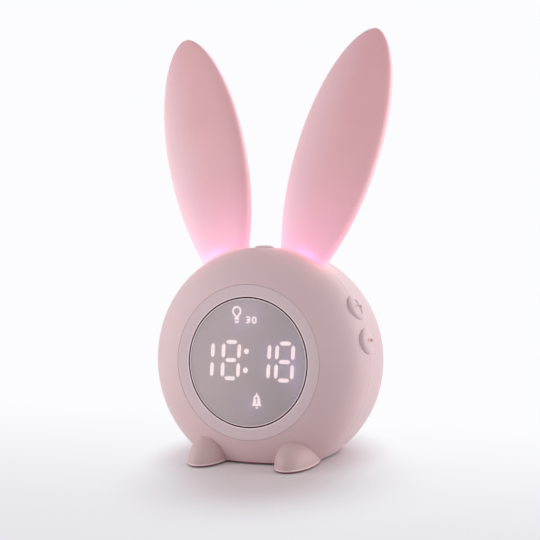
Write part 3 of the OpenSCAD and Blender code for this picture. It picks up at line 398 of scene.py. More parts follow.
class Signal:
    """A value socket of a material that takes part in sums."""

    def __init__(self, shader: "Shader", socket: bpy.types.NodeSocket) -> None:
        """Wraps a socket of the shader's tree."""
        self.shader = shader
        self.socket = socket

    def math(self, operation: str, *values: Number) -> "Signal":
        """Returns the outcome of one Math node, from Blender's name of the operation and its values."""
        made = self.shader.node("Math", dict(enumerate(values)), operation=operation)
        return Signal(self.shader, made.outputs[0])

    def __add__(self, other: Number) -> "Signal":
        """self + other."""
        return self.math("ADD", self, other)

    def __sub__(self, other: Number) -> "Signal":
        """self - other."""
        return self.math("SUBTRACT", self, other)

    def __rsub__(self, other: Number) -> "Signal":
        """other - self."""
        return self.math("SUBTRACT", other, self)

    def __mul__(self, other: Number) -> "Signal":
        """self * other."""
        return self.math("MULTIPLY", self, other)

    def __truediv__(self, other: Number) -> "Signal":
        """self / other."""
        return self.math("DIVIDE", self, other)

    def __pow__(self, other: Number) -> "Signal":
        """self ** other."""
        return self.math("POWER", self, other)

    __radd__ = __add__
    __rmul__ = __mul__

    def size(self) -> "Signal":
        """Returns the value without its sign."""
        return self.math("ABSOLUTE", self)

    def least(self, other: Number) -> "Signal":
        """Returns the lower of the two."""
        return self.math("MINIMUM", self, other)

    def most(self, other: Number) -> "Signal":
        """Returns the higher of the two."""
        return self.math("MAXIMUM", self, other)

    def fade(self, length: float) -> "Signal":
        """Returns exp(-self / length)."""
        return self.math("EXPONENT", self * (-1.0 / length))

    def bell(self, width: float) -> "Signal":
        """Returns exp(-(self / width)^2), which is 1 at zero and fades both ways."""
        share = self * (1.0 / width)
        return self.math("EXPONENT", share * share * -1.0)

    def ramp(self, low: float, high: float) -> "Signal":
        """Returns 0 at low, 1 at high and a smooth step between them."""
        made = self.shader.node("MapRange", {0: self, 1: low, 2: high}, interpolation_type="SMOOTHSTEP")
        return Signal(self.shader, made.outputs[0])


Value = Union[Signal, bpy.types.NodeSocket, float, Sequence[float]]


class Owner(Enum):
    """What a node tree belongs to."""

    MATERIAL = "Material"
    WORLD = "World"


class Shader:
    """The node tree of one new material, or of the surround."""

    def __init__(self, name: str, kind: Owner = Owner.MATERIAL) -> None:
        """Starts an empty tree.

        Args:
            name: Name of the new material or world.
            kind: Which of the two it is.
        """
        group = bpy.data.materials if kind is Owner.MATERIAL else bpy.data.worlds
        self.owner = group.new(name)
        self.owner.use_nodes = True
        self.tree = self.owner.node_tree
        self.tree.nodes.clear()
        self.output = self.node("Output" + kind.value)

    @property
    def place(self) -> bpy.types.NodeSocket:
        """Where a point lies on its object, in metres."""
        return self.node("TexCoord").outputs["Object"]

    def node(
        self, kind: str, values: Optional[Mapping[Union[str, int], Value]] = None, **settings: object
    ) -> bpy.types.Node:
        """Adds a node.

        Args:
            kind: The node's type, without the ShaderNode in front.
            values: Values or links of its sockets, by name or number.
            **settings: Its own settings, set first.

        Returns:
            The new node.
        """
        made = self.tree.nodes.new("ShaderNode" + kind)
        for key, setting in settings.items():
            setattr(made, key, setting)
        for key, value in (values or {}).items():
            source = value.socket if isinstance(value, Signal) else value
            if isinstance(source, bpy.types.NodeSocket):
                self.tree.links.new(source, made.inputs[key])
            else:
                made.inputs[key].default_value = source
        return made

    def show(self, surface: bpy.types.Node) -> None:
        """Makes a shader node what the tree shows."""
        self.tree.links.new(surface.outputs[0], self.output.inputs[0])

    def noise(self, scale: float, detail: float, rough: float, stretch: Optional[Spot3] = None) -> Signal:
        """Adds noise with features about 1/scale metres wide.

        Args:
            scale: Features in a metre.
            detail: How many finer layers it has.
            rough: Strength of the finer layers.
            stretch: Scale of each axis, for drawn-out grain.

        Returns:
            The noise, about 0.5 in the middle.
        """
        place = self.place
        if stretch:
            place = self.node("Mapping", {"Vector": place, "Scale": stretch}).outputs[0]
        values = {"Vector": place, "Scale": scale, "Detail": detail, "Roughness": rough}
        return Signal(self, self.node("TexNoise", values, noise_dimensions="3D").outputs[0])

    def along(self, axis: Sequence[float], origin: Sequence[float]) -> Signal:
        """Measures how far a point lies along an axis from an origin.

        Args:
            axis: Direction of unit length.
            origin: Point in millimetres where the measure is zero.

        Returns:
            The distance, in millimetres.
        """
        made = self.node("VectorMath", {0: self.place, 1: tuple(axis)}, operation="DOT_PRODUCT")
        return Signal(self, made.outputs["Value"]) * (1 / MM) - float(np.dot(axis, origin))

    def height(self, zero: float) -> Signal:
        """Returns how far a point lies above a height, both in millimetres over the ground."""
        return self.along((0.0, 0.0, 1.0), (0.0, 0.0, zero))

    def distance(self, spot: Spot3) -> Signal:
        """Returns how far a point lies from a spot, both in metres."""
        made = self.node("VectorMath", {0: self.place, 1: spot}, operation="DISTANCE")
        return Signal(self, made.outputs["Value"])

    def face_place(self) -> Tuple[Signal, Signal, Signal]:
        """Places a point on the plane of the face, in millimetres.

        Returns:
            How far it lies to the right of the case's middle, above it, and from its axis.
        """
        middle = CASE.apply(np.zeros(3))
        x, z = self.along(CASE.turn[:, 0], middle), self.along(CASE.turn[:, 2], middle)
        return x, z, (x * x + z * z) ** 0.5

    def seen(self) -> Signal:
        """Tells the rays that should find the white background from those that only light.

        Returns:
            1 for camera, glossy and transmission rays, and 0 for the rest.
        """
        path = self.node("LightPath").outputs
        kinds = ("Camera", "Glossy", "Transmission")
        camera, glossy, through = (Signal(self, path[f"Is {kind} Ray"]) for kind in kinds)
        return camera.most(glossy).most(through)

    def mix(self, share: Number, first: Value, second: Value) -> bpy.types.NodeSocket:
        """Returns a blend of two colours: the first where share is 0, the second where it is 1."""
        return self.node("Mix", {0: share, 6: first, 7: second}, data_type="RGBA").outputs[2]

    def clouded(self, cloud: Signal, first: Value, second: Value) -> bpy.types.NodeSocket:
        """Returns two near colours mixed in soft clouds."""
        return self.mix(cloud.ramp(0.3, 0.7), first, second)

    def bump(self, height: Signal, depth_mm: float) -> bpy.types.NodeSocket:
        """Returns the normal of a surface raised by height times a depth in millimetres."""
        return self.node("Bump", {"Height": height, "Distance": depth_mm * MM, "Strength": 1.0}).outputs[0]

    def finish(self, **values: Value) -> bpy.types.Material:
        """Adds the Principled surface.

        Args:
            **values: Its sockets, with underscores for the spaces in their names.

        Returns:
            The finished material.
        """
        sockets = {key.replace("_", " "): value for key, value in values.items()}
        self.show(self.node("BsdfPrincipled", sockets))
        return self.owner


# ---------------------------------------------------------------- finishes


class Pattern(Enum):
    """Fine detail that a plain finish carries."""

    MOULDED = "moulded"
    BRUSHED = "brushed"
    TRACES = "traces"
    FIBRES = "fibres"
    STRIPES = "stripes"
    FOAM = "foam"


@dataclass(frozen=True)
class Plain:
    """Finish of a piece that is one stuff all over, with its own fine detail."""

    name: str
    colour: Colour
    second: Colour
    pattern: Pattern = Pattern.MOULDED
    roughness: float = 0.5
    metallic: float = 0.0
    specular: float = 0.5

    def mask(self, s: Shader) -> Tuple[Signal, float]:
        """Draws the pattern.

        Args:
            s: The shader that it is drawn in.

        Returns:
            The pattern, from 0 to 1, and the depth of its relief in millimetres.
        """
        if self.pattern is Pattern.BRUSHED:
            return s.noise(900.0, 4.0, 0.6, (0.08, 1.0, 1.0)), 0.01
        if self.pattern is Pattern.FIBRES:
            return s.noise(1500.0, 6.0, 0.75), 0.06
        if self.pattern is Pattern.TRACES:
            values = {"Vector": s.place, "Scale": 260.0, "Mortar Size": 0.06}
            brick = s.node("TexBrick", values, offset=0.37, squash=0.8)
            return Signal(s, brick.outputs["Fac"]) * 0.8 + s.noise(300.0, 3.0, 0.5) * 0.2, 0.03
        if self.pattern is Pattern.STRIPES:
            values = {"Vector": s.place, "Scale": 310.0, "Distortion": 0.0}
            wave = s.node("TexWave", values, wave_type="BANDS", bands_direction="X", wave_profile="SIN")
            return Signal(s, wave.outputs["Fac"]), 0.04
        if self.pattern is Pattern.FOAM:
            cells = s.node("TexVoronoi", {"Vector": s.place, "Scale": 1100.0})
            return Signal(s, cells.outputs["Distance"]), 0.15
        return s.noise(90.0, 5.0, 0.55) * 0.6 + s.noise(2600.0, 2.0, 0.5) * 0.4, 0.02

    def make(self) -> bpy.types.Material:
        """Mixes two colours by the pattern, which also drives gloss and bump.

        Returns:
            The material.
        """
        s = Shader(self.name)
        mask, depth = self.mask(s)
        return s.finish(
            Base_Color=s.mix(mask.ramp(0.25, 0.75), self.colour, self.second),
            Roughness=(mask - 0.5) * 0.16 + self.roughness,
            Metallic=self.metallic,
            Specular_IOR_Level=self.specular,
            Normal=s.bump(mask, depth),
        )


@dataclass(frozen=True)
class Glow:
    """Light that an ear sheds round its root, which counts as a block on the case, where it is painted on
    as emission.
    """

    centre: Spot3
    across: Spot3
    up: Spot3
    through: Spot3
    half_across: float = 11.0
    half_through: float = 4.5
    foot: float = -6.0

    def distance(self, s: Shader) -> Signal:
        """Measures how far a point lies outside the block: the root of its three gaps' squares.

        Args:
            s: The shader that measures.

        Returns:
            The distance, in millimetres.
        """
        x = (s.along(self.across, self.centre).size() - self.half_across).most(0.0)
        y = (s.along(self.through, self.centre).size() - self.half_through).most(0.0)
        z = (self.foot - s.along(self.up, self.centre)).most(0.0)
        return (x * x + y * y + z * z) ** 0.5


@dataclass(frozen=True)
class SatinShell:
    """Soft pale plastic of the case, with the ears' light near their roots painted on as emission.

    An edge radius gives the ring a painted highlight on its inner edge, a rim height gives a foot a
    painted highlight line, and a contact height lays painted shade on what lies below it, where little
    light comes.
    """

    name: str
    colour: Colour
    deep: Colour
    roughness: float = 0.46
    glows: Tuple[Glow, ...] = ()
    painted_spill: Colour = (1.0, 0.34, 0.36, 1.0)
    painted_spill_strength: float = 0.42
    painted_spill_reach: float = 3.4
    # Painted highlight colour, laid on the ring's inner edge and along a foot's rim line.
    edge: Colour = srgb(253, 240, 243)
    highlight_radius: float = 0.0
    rim_height: float = 0.0
    rim_highlight_width: float = 0.3
    rim_highlight_share: float = 0.75
    # Painted contact shade: a dark red laid below a height, where little light comes.
    contact: Colour = srgb(128, 66, 74)
    contact_shade_height: float = 0.0

    def colours(self, s: Shader, cloud: Signal) -> Value:
        """Lays the colours over each other.

        Args:
            s: The shader that mixes them.
            cloud: The noise of the faint cloudiness.

        Returns:
            The colour of the surface.
        """
        body = s.clouded(cloud, self.colour, self.deep)
        # Painted highlight on the ring's inner edge.
        if self.highlight_radius:
            inside = 1.0 - s.face_place()[2].ramp(self.highlight_radius - 0.1, self.highlight_radius + 0.1)
            body = s.mix(inside, body, self.edge)
        # Painted highlight line along a foot's rim.
        if self.rim_height:
            body = s.mix(s.height(self.rim_height).bell(self.rim_highlight_width) * self.rim_highlight_share, body, self.edge)
        # Painted contact shade below its height.
        if self.contact_shade_height:
            body = s.mix(1.0 - s.height(self.contact_shade_height).ramp(-0.12, 0.12), body, self.contact)
        return body

    def make(self) -> bpy.types.Material:
        """Adds a faint cloudiness, a fine moulded grain and the ears' light near their roots, painted on as
        emission.

        Returns:
            The material.
        """
        s = Shader(self.name)
        cloud = s.noise(22.0, 3.0, 0.5)
        grain = s.noise(2400.0, 2.0, 0.55)
        light: Dict[str, Value] = {}
        # Painted glow: the ears' light on the case, laid on as emission that fades with the distance from
        # each root's block.
        if self.glows:
            total: Number = 0.0
            for glow in self.glows:
                total = glow.distance(s).fade(self.painted_spill_reach) + total
            light["Emission_Color"] = s.mix(total.least(1.0), DARK, self.painted_spill)
            light["Emission_Strength"] = self.painted_spill_strength
        return s.finish(
            Base_Color=self.colours(s, cloud),
            Roughness=self.roughness + (cloud - 0.5) * 0.08 + (grain - 0.5) * 0.10,
            Normal=s.bump(grain, 0.012),
            Sheen_Weight=0.38,
            Sheen_Roughness=0.30,
            Specular_IOR_Level=0.40,
            **light,
        )


@dataclass(frozen=True)
class EarSkin:
    """Milky ear plastic, lit from inside at its root."""

    name: str
    glow: Glow
    hot_spot: float
    inner_light: Colour
    length: float
    half_thickness: float
    plastic: Colour = srgb(243, 190, 193)
    cloudy: Colour = srgb(238, 184, 188)
    # Painted sheen: colours laid paler on the ear's left and on its side wall.
    pale: Colour = srgb(250, 212, 218)
    side_wall_sheen: Colour = srgb(246, 216, 219)
    halo: Colour = (0.50, 0.185, 0.36, 1.0)
    halo_reach: float = 19.0
    band: Colour = (0.42, 0.30, 0.70, 1.0)
    band_height: float = 0.8
    band_reach: float = 3.0
    band_width: float = 6.2
    rim: Colour = (0.80, 0.20, 0.22, 1.0)
    rim_height: float = 1.2
    surface_radius: float = 54.7

    def make(self) -> bpy.types.Material:
        """Mixes pink plastic with a light that fades up from the root.

        The plastic is paler towards the ear's left in a painted sheen, and on the wall behind the front
        edge in a painted reflection, where the depth as a share of the half thickness T (1 - t^4)^0.5
        passes from -0.5 to -0.1.

        Returns:
            The material.
        """
        s = Shader(self.name)
        cloud = s.noise(26.0, 3.0, 0.5)
        grain = s.noise(2400.0, 2.0, 0.55)
        across = s.along(self.glow.across, self.glow.centre)
        t = (s.along(self.glow.up, self.glow.centre) * (1 / self.length)).most(0.0).least(0.999)
        depth = s.along(self.glow.through, self.glow.centre) / ((1.0 - t**4.0) ** 0.5 * self.half_thickness)
        plastic = s.clouded(cloud, self.plastic, self.cloudy)
        # Painted sheen, paler towards the ear's left.
        plastic = s.mix((1.0 - across.ramp(-19.0, 4.0)) * 0.9, plastic, self.pale)
        # Painted reflection on the side wall behind the front edge.
        plastic = s.mix(depth.ramp(-0.5, -0.1) * t.ramp(0.15, 0.5), plastic, self.side_wall_sheen)
        height = s.face_place()[2] - self.surface_radius
        band = (height - self.band_height).most(0.0).bell(self.band_reach)
        light = s.mix(height.most(0.0).fade(self.halo_reach), self.inner_light, self.halo)
        light = s.mix(band * (across - self.hot_spot).bell(self.band_width), light, self.band)
        light = s.mix(1.0 - height.ramp(0.0, self.rim_height), light, self.rim)
        return s.finish(
            Base_Color=plastic,
            Roughness=0.44 + (cloud - 0.5) * 0.08 + (grain - 0.5) * 0.08,
            Normal=s.bump(grain, 0.003),
            Emission_Color=light,
            Emission_Strength=1.0,
            Sheen_Weight=0.20,
            Sheen_Roughness=0.35,
            Specular_IOR_Level=0.40,
        )


@dataclass(frozen=True)
class SmokedWindow:
    """Smoked window: a thin grey veil before the figures, with a paler edge that is a painted highlight."""

    name: str
    veil: float = 0.30
    highlight_radius: float = 29.7
    highlight_width: float = 0.15
    grey: Colour = srgb(218, 206, 207)
    warm_grey: Colour = srgb(213, 201, 203)
    # Painted highlight colour of the window's edge.
    edge: Colour = srgb(252, 240, 245)

    def make(self) -> bpy.types.Material:
        """Draws a veil with faint smears, which pales at the edge in a painted highlight and thickens
        there.

        Returns:
            The material.
        """
        s = Shader(self.name)
        cloud = s.noise(30.0, 2.0, 0.5)
        smear = s.noise(70.0, 3.0, 0.6, (1.0, 1.0, 0.35))
        # Painted highlight: the edge band, where the veil is paler and opaque.
        rim = s.face_place()[2].ramp(self.highlight_radius, self.highlight_radius + self.highlight_width)
        return s.finish(
            Base_Color=s.mix(rim, s.clouded(cloud, self.grey, self.warm_grey), self.edge),
            Roughness=0.22 + smear * 0.10,
            Alpha=rim * (1 - self.veil) + self.veil,
            Normal=s.bump(s.noise(900.0, 2.0, 0.5), 0.003),
            Specular_IOR_Level=0.45,
        )


@dataclass(frozen=True)
class Haze:
    """A soft patch of stray light painted on the film as glow, in millimetres of the face's own plane."""

    x: float
    z: float
    half_x: float
    half_z: float
    strength: float


@dataclass(frozen=True)
class GreyFilm:
    """Grey film behind the window, painted with shade to the lower right and with a faint violet glow
    beside the lit figures.
    """

    name: str
    grey: Colour = srgb(238, 224, 225)
    warm_grey: Colour = srgb(233, 219, 221)
    # Painted shade colour, reached towards the lower right.
    shade: Colour = srgb(192, 180, 182)
    # Painted glow colour of the hazes beside the lit figures.
    violet: Colour = (0.10, 0.07, 0.18, 1.0)
    hazes: Tuple[Haze, ...] = (
        Haze(24.0, -2.5, 5.0, 12.0, 1.0),
        Haze(13.0, 3.0, 8.0, 9.0, 0.45),
        Haze(1.0, 22.0, 6.5, 6.0, 0.55),
        Haze(-4.5, 17.0, 5.0, 5.0, 0.35),
        Haze(2.0, -20.0, 6.5, 6.0, 0.50),
        Haze(-12.0, 0.0, 10.0, 9.0, 0.12),
    )

    def make(self) -> bpy.types.Material:
        """Mixes a grey that darkens to the lower right in painted shade with a painted glow in hazes, each
        a bell of x times a bell of z.

        Returns:
            The material.
        """
        s = Shader(self.name)
        x, z, _ = s.face_place()
        # Painted glow: the hazes' stray light, summed as emission.
        total: Number = 0.0
        for haze in self.hazes:
            total = (x - haze.x).bell(haze.half_x) * (z - haze.z).bell(haze.half_z) * haze.strength + total
        cloud = s.noise(35.0, 3.0, 0.5)
        # Painted shade towards the lower right.
        shade = (x - z * 0.4).ramp(-30.0, 42.0)
        return s.finish(
            Base_Color=s.mix(shade, s.clouded(cloud, self.grey, self.warm_grey), self.shade),
            Roughness=0.6 + (cloud - 0.5) * 0.1,
            Normal=s.bump(s.noise(1800.0, 2.0, 0.5), 0.004),
            Emission_Color=s.mix(total.least(1.0), DARK, self.violet),
            Emission_Strength=1.1,
            Specular_IOR_Level=0.2,
        )


@dataclass(frozen=True)
class LitFigure:
    """Milky light guide that shines warm white."""

    name: str
    strength: float = 0.80
    milky: Colour = srgb(238, 228, 226)
    warm: Colour = (1.0, 0.84, 0.88, 1.0)
    paler: Colour = (1.0, 0.88, 0.91, 1.0)

    def make(self) -> bpy.types.Material:
        """Draws an even light that is a little pinker at places.

        Returns:
            The material.
        """
        s = Shader(self.name)
        patch = s.noise(140.0, 2.0, 0.5)
        return s.finish(
            Base_Color=self.milky,
            Roughness=0.5 + (patch - 0.5) * 0.1,
            Emission_Color=s.clouded(patch, self.warm, self.paler),
            Emission_Strength=self.strength,
        )


# ---------------------------------------------------------------- sub-assemblies


def fitted(
    piece: bpy.types.Object, material: bpy.types.Material, node: str, body: str = "case"
) -> None:
    """Dresses a new piece and ties it to the frame.

    Args:
        piece: The finished object.
        material: What it is made of.
        node: CAD node that it stands for.
        body: The CAD body that it moves with.
    """
    piece.data.materials.clear()
    piece.data.materials.append(material)
    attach(piece, body)
    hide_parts(node)
    LOG.info("%s: %d faces, rides on %s", piece.name, len(piece.data.polygons), body)


@dataclass(frozen=True)
class CaseForm:
    """The round case as a body of revolution with a flat face and a flat base."""

    radius: float = 55.0
    face_radius: float = 36.7
    face_forward: float = 19.0
    rear_depth: float = 45.0
    front_power: float = 2.7
    rear_power: float = 3.1
    wall: float = 2.0
    seam_y: float = -1.5
    base_height: float = 0.5
    top_flat: float = 54.0

    @property
    def nose(self) -> float:
        """Where the front's superellipse would end if the flat face did not cut it off."""
        share = (self.face_radius / self.radius) ** self.front_power
        return self.face_forward / (1 - share) ** (1 / self.front_power)

    def front(self, inset: float, y0: float, y1: float, count: int) -> Array:
        """Front half of the profile: r = R (1 - (|y|/N)^n)^(1/n), both sizes less the inset.

        Args:
            inset: How far inside the outer surface it lies.
            y0: Where it starts, in front of the widest plane, so below zero.
            y1: Where it ends, below or at zero.
            count: How many points it has.

        Returns:
            Points of r and y.
        """
        y = np.linspace(y0, y1, 400)
        share = np.clip(np.abs(y) / (self.nose - inset), 0, 1) ** self.front_power
        r = (self.radius - inset) * (1 - share) ** (1 / self.front_power)
        return even_steps(np.stack([r, y], -1), count)

    def rear(self, inset: float, count: int) -> Array:
        """Back half of the profile, from the rim to the pole: r = R cos^(2/n) a, y = D sin^(2/n) a.

        Args:
            inset: How far inside the outer surface it lies.
            count: How many points it has.

        Returns:
            Points of r and y.
        """
        a = np.linspace(0.0, math.pi / 2, 6000)
        r = (self.radius - inset) * np.abs(np.cos(a)) ** (2 / self.rear_power)
        y = (self.rear_depth - inset) * np.sin(a) ** (2 / self.rear_power)
        r[-1] = 0.0
        return even_steps(np.stack([r, y], -1), count)

    def solid(self, grow: float) -> Grid:
        """Draws the whole case as one closed surface.

        Args:
            grow: How far outside the outer surface it lies.

        Returns:
            The grid of the surface.
        """
        front = self.front(-grow, -self.face_forward - grow, 0.0, 60)
        profile = np.concatenate([[[0.0, front[0, 1]]], front, self.rear(-grow, 90)[1:]])
        return lathe(profile, 240)


@dataclass(frozen=True)
class EarForm:
    """Sizes of one ear, in its own frame with Z along the ear."""

    side: int
    hot_spot: float
    inner_light: Colour
    length: float = 114.0
    width: float = 41.4
    root_width: float = 23.8
    thickness: float = 10.0
    belly: float = 0.47
    wall: float = 1.5
    root_x: float = 20.8
    root_z: float = 49.8
    tilt: float = 15.5
    lean: float = 7.9
    stem: float = 5.0
    flange_height: float = 1.5
    flange_width: float = 1.8
    power: float = 3.4
    root_power: float = 2.15
    tip_power: float = 0.57

    @property
    def node(self) -> str:
        """The CAD node of this ear."""
        return "left_ear" if self.side < 0 else "right_ear"

    @property
    def place(self) -> Rigid:
        """Where the ear stands in the case's frame."""
        turn = turned_by(Axis.X, -self.lean) @ turned_by(Axis.Y, self.side * self.tilt)
        return Rigid(turn, (self.side * self.root_x, 0.0, self.root_z))

    @property
    def glow(self) -> Glow:
        """Places the ear's light.

        Returns:
            The light in the scene's own frame, with the ear's three directions.
        """
        world = CASE.after(self.place)
        centre, x, y, z = (tuple(float(v) for v in line) for line in (world.shift, *world.turn.T))
        return Glow(centre, across=x, up=z, through=y)

    def half_width(self, t: Array) -> Array:
        """Half width of the blade.

        Below the belly b it is W - (W - root) ((b - t) / b)^2.15, and above it
        W (1 - ((t - b) / (1 - b))^2)^0.57.

        Args:
            t: Height as a share of the ear's length.

        Returns:
            The half width at each height.
        """
        w, root, b = self.width / 2, self.root_width / 2, self.belly
        low = w - (w - root) * (np.clip(b - t, 0, None) / b) ** self.root_power
        high = w * (1 - np.clip((t - b) / (1 - b), 0, 1) ** 2) ** self.tip_power
        return np.where(t < b, low, high)

    def half_thickness(self, t: Array) -> Array:
        """Half thickness: T (1 - t^4)^0.5."""
        return self.thickness / 2 * (1 - np.clip(t, 0, 1) ** 4) ** 0.5

    def skin(self, end: float, inset: float, rows: int) -> Array:
        """Measures the blade from its root to a share of its length.

        Args:
            end: That share.
            inset: How far inside the outer surface it lies.
            rows: How many rings it has.

        Returns:
            Three lines: the rings' heights, half widths and half thicknesses.
        """
        t = end * np.sin(np.linspace(0.0, math.pi / 2, rows))
        return np.stack([t * self.length, self.half_width(t) - inset, self.half_thickness(t) - inset])

    def slot(self, grow: float, below: float, above: float) -> Grid:
        """Returns the prism of the stem grown by a gap, from below its end to above the root."""
        outline = squarish_outline(self.root_width / 2 + grow, self.thickness / 2 + grow, self.power, 120)
        return moved(stack(outline, -self.stem - below, self.stem + above), self.place)


@dataclass
class Ear:
    """One glowing ear: a hollow milky blade with a stem and a flange inside the case."""

    form: EarForm
    columns: int = 288
    rows: int = 170
    cavity_rows: int = 40
    cavity_end: float = 0.92
    flange_edge: float = 0.15

    def build(self) -> bpy.types.Object:
        """Draws the ear as one closed surface from its cavity, round the flange, up to its tip.

        Returns:
            The ear.
        """
        f, soft = self.form, self.flange_edge
        cavity = f.skin(self.cavity_end, f.wall, self.cavity_rows)[:, ::-1]
        seat, out = -f.stem, f.flange_width
        foot = seat - f.flange_height
        heights = np.array([foot, foot, foot + soft, seat - soft, seat, seat])
        beyond = np.array([-f.wall, out - soft, out, out, out - soft, 0.0])
        flange = np.stack([heights, f.root_width / 2 + beyond, f.thickness / 2 + beyond])
        pole = np.array([[cavity[0, 0]], [0.0], [0.0]])
        tall, wide, deep = np.concatenate([pole, cavity, flange, f.skin(1.0, 0.0, self.rows)], 1)
        grid = tower(squarish_outline(wide, deep, f.power, self.columns), tall)
        return finished(as_object(f.node + "_skin", [moved(grid, f.place)], CASE), 80.0)

    def dress(self, piece: bpy.types.Object) -> None:
        """Gives the ear its skin and ties it to the case.

        Args:
            piece: The ear.
        """
        f = self.form
        skin = EarSkin(f.node + "_milky", f.glow, f.hot_spot, f.inner_light, f.length, f.thickness / 2)
        fitted(piece, skin.make(), f.node)


def bar_distance(x: Array, y: Array, half_x: float, half_y: float) -> Array:
    """Distance outside a bar with square ends: max(|x| - a, |y| - b)."""
    return np.maximum(np.abs(x) - half_x, np.abs(y) - half_y)


def plus_sign(x: Array, y: Array) -> Array:
    """Distance outside a plus: the nearer of a level and an upright bar."""
    return np.minimum(bar_distance(x, y, 3.5, 0.65), bar_distance(x, y, 0.65, 3.5))


def minus_sign(x: Array, y: Array) -> Array:
    """Distance outside a minus, which is one level bar."""
    return bar_distance(x, y, 3.0, 0.6)


def clock_sign(x: Array, y: Array) -> Array:
    """Distance outside a small clock: a ring with two hands.

    Args:
        x: Place across.
        y: Place upward.

    Returns:
        The distance, below zero inside the ring or a hand.
    """
    ring = np.abs(np.hypot(x, y) - 3.1) - 0.4
    hands = np.minimum(bar_distance(x, y - 0.8, 0.3, 1.1), bar_distance(x - 0.6, y, 0.9, 0.3))
    return np.minimum(ring, hands)


@dataclass(frozen=True)
class KeyForm:
    """A domed key on its own axis, with the sizes of a side key.

    The side keys share one flat board and are pressed along its normal, so each drifts a little
    sideways in its hole: `drift` is how far at full press, along the sign's up.
    """

    name: str
    place: Rigid
    sign: Optional[Callable[[Array, Array], Array]] = None
    diameter: float = 12.0
    seat: float = 50.2
    top: float = 56.6
    dome: float = 1.9
    squareness: float = 2.8
    flange: float = 1.2
    flange_height: float = 1.0
    stem: float = 1.8
    stem_drop: float = 2.4
    cut: float = 1.15
    drift: float = 0.0


@dataclass
class Key:
    """One key: a domed cap with an engraved sign, a flange and a stem inside the case."""

    form: KeyForm
    columns: int = 288
    dome_rows: int = 70
    edge: float = 0.1
    groove_top: float = 0.12
    groove_slope: float = 0.36
    lip_height: float = 0.2
    lip_middle: float = 0.42
    lip_width: float = 0.26

    def build(self) -> bpy.types.Object:
        """Draws the key.

        The cap is a pillow, z = top - dome (1 - (1 - (r/R)^n)^0.5), and the sign sinks into it by a
        smooth step of the distance to the sign's outline, with a slight lip round it.

        Returns:
            The key.
        """
        f, soft = self.form, self.edge
        radius = f.diameter / 2
        wide, foot, shoulder = radius + f.flange, f.seat - f.stem_drop, f.seat + f.flange_height
        share = np.sin(np.linspace(math.pi / 2, 0.0, self.dome_rows))
        cap = f.top - f.dome * (1 - (1 - share**f.squareness) ** 0.5)
        low = [(0.0, foot), (f.stem - soft, foot), (f.stem, foot + soft), (f.stem, f.seat),
               (wide - soft, f.seat), (wide, f.seat + soft), (wide, shoulder), (radius, shoulder)]
        grid = pillar(np.concatenate([low, np.stack([share * radius, cap], -1)]), self.columns)
        if f.sign is not None:
            dome = grid.points[-self.dome_rows :]
            away = f.sign(dome[..., 0], dome[..., 1])
            sunk = np.clip((self.groove_top - away) / self.groove_slope, 0.0, 1.0)
            lip = np.exp(-(((away - self.lip_middle) / self.lip_width) ** 2))
            dome[..., 2] += self.lip_height * lip - f.cut * sunk * sunk * (3 - 2 * sunk)
        return finished(as_object(f.name + "_cap", [moved(grid, f.place)], CASE), 60.0)

    def dress(self, piece: bpy.types.Object, material: bpy.types.Material) -> None:
        """Gives the key its plastic and ties it to its own body."""
        fitted(piece, material, self.form.name, self.form.name.replace("_key", "_press"))


def side_key_place(side: int, angle: float, forward: float) -> Rigid:
    """Returns the frame of a side key: Z runs out of the case, and its sign's up is the case's up."""
    turn = turned_by(Axis.Y, side * (90 - angle)) @ turned_by(Axis.Z, side * 90)
    return Rigid(turn, (0.0, -forward, 0.0))


KEYS = (
    KeyForm("plus_key", side_key_place(1, 28.4, 2.5), plus_sign, drift=0.12),
    KeyForm("minus_key", side_key_place(1, 11.4, 2.5), minus_sign, drift=-0.12),
    KeyForm("set_key", side_key_place(-1, 28.4, -9.0), clock_sign, drift=0.12),
    KeyForm("top_key", Rigid(), diameter=9.6, seat=50.6, top=55.3, dome=1.4),
)


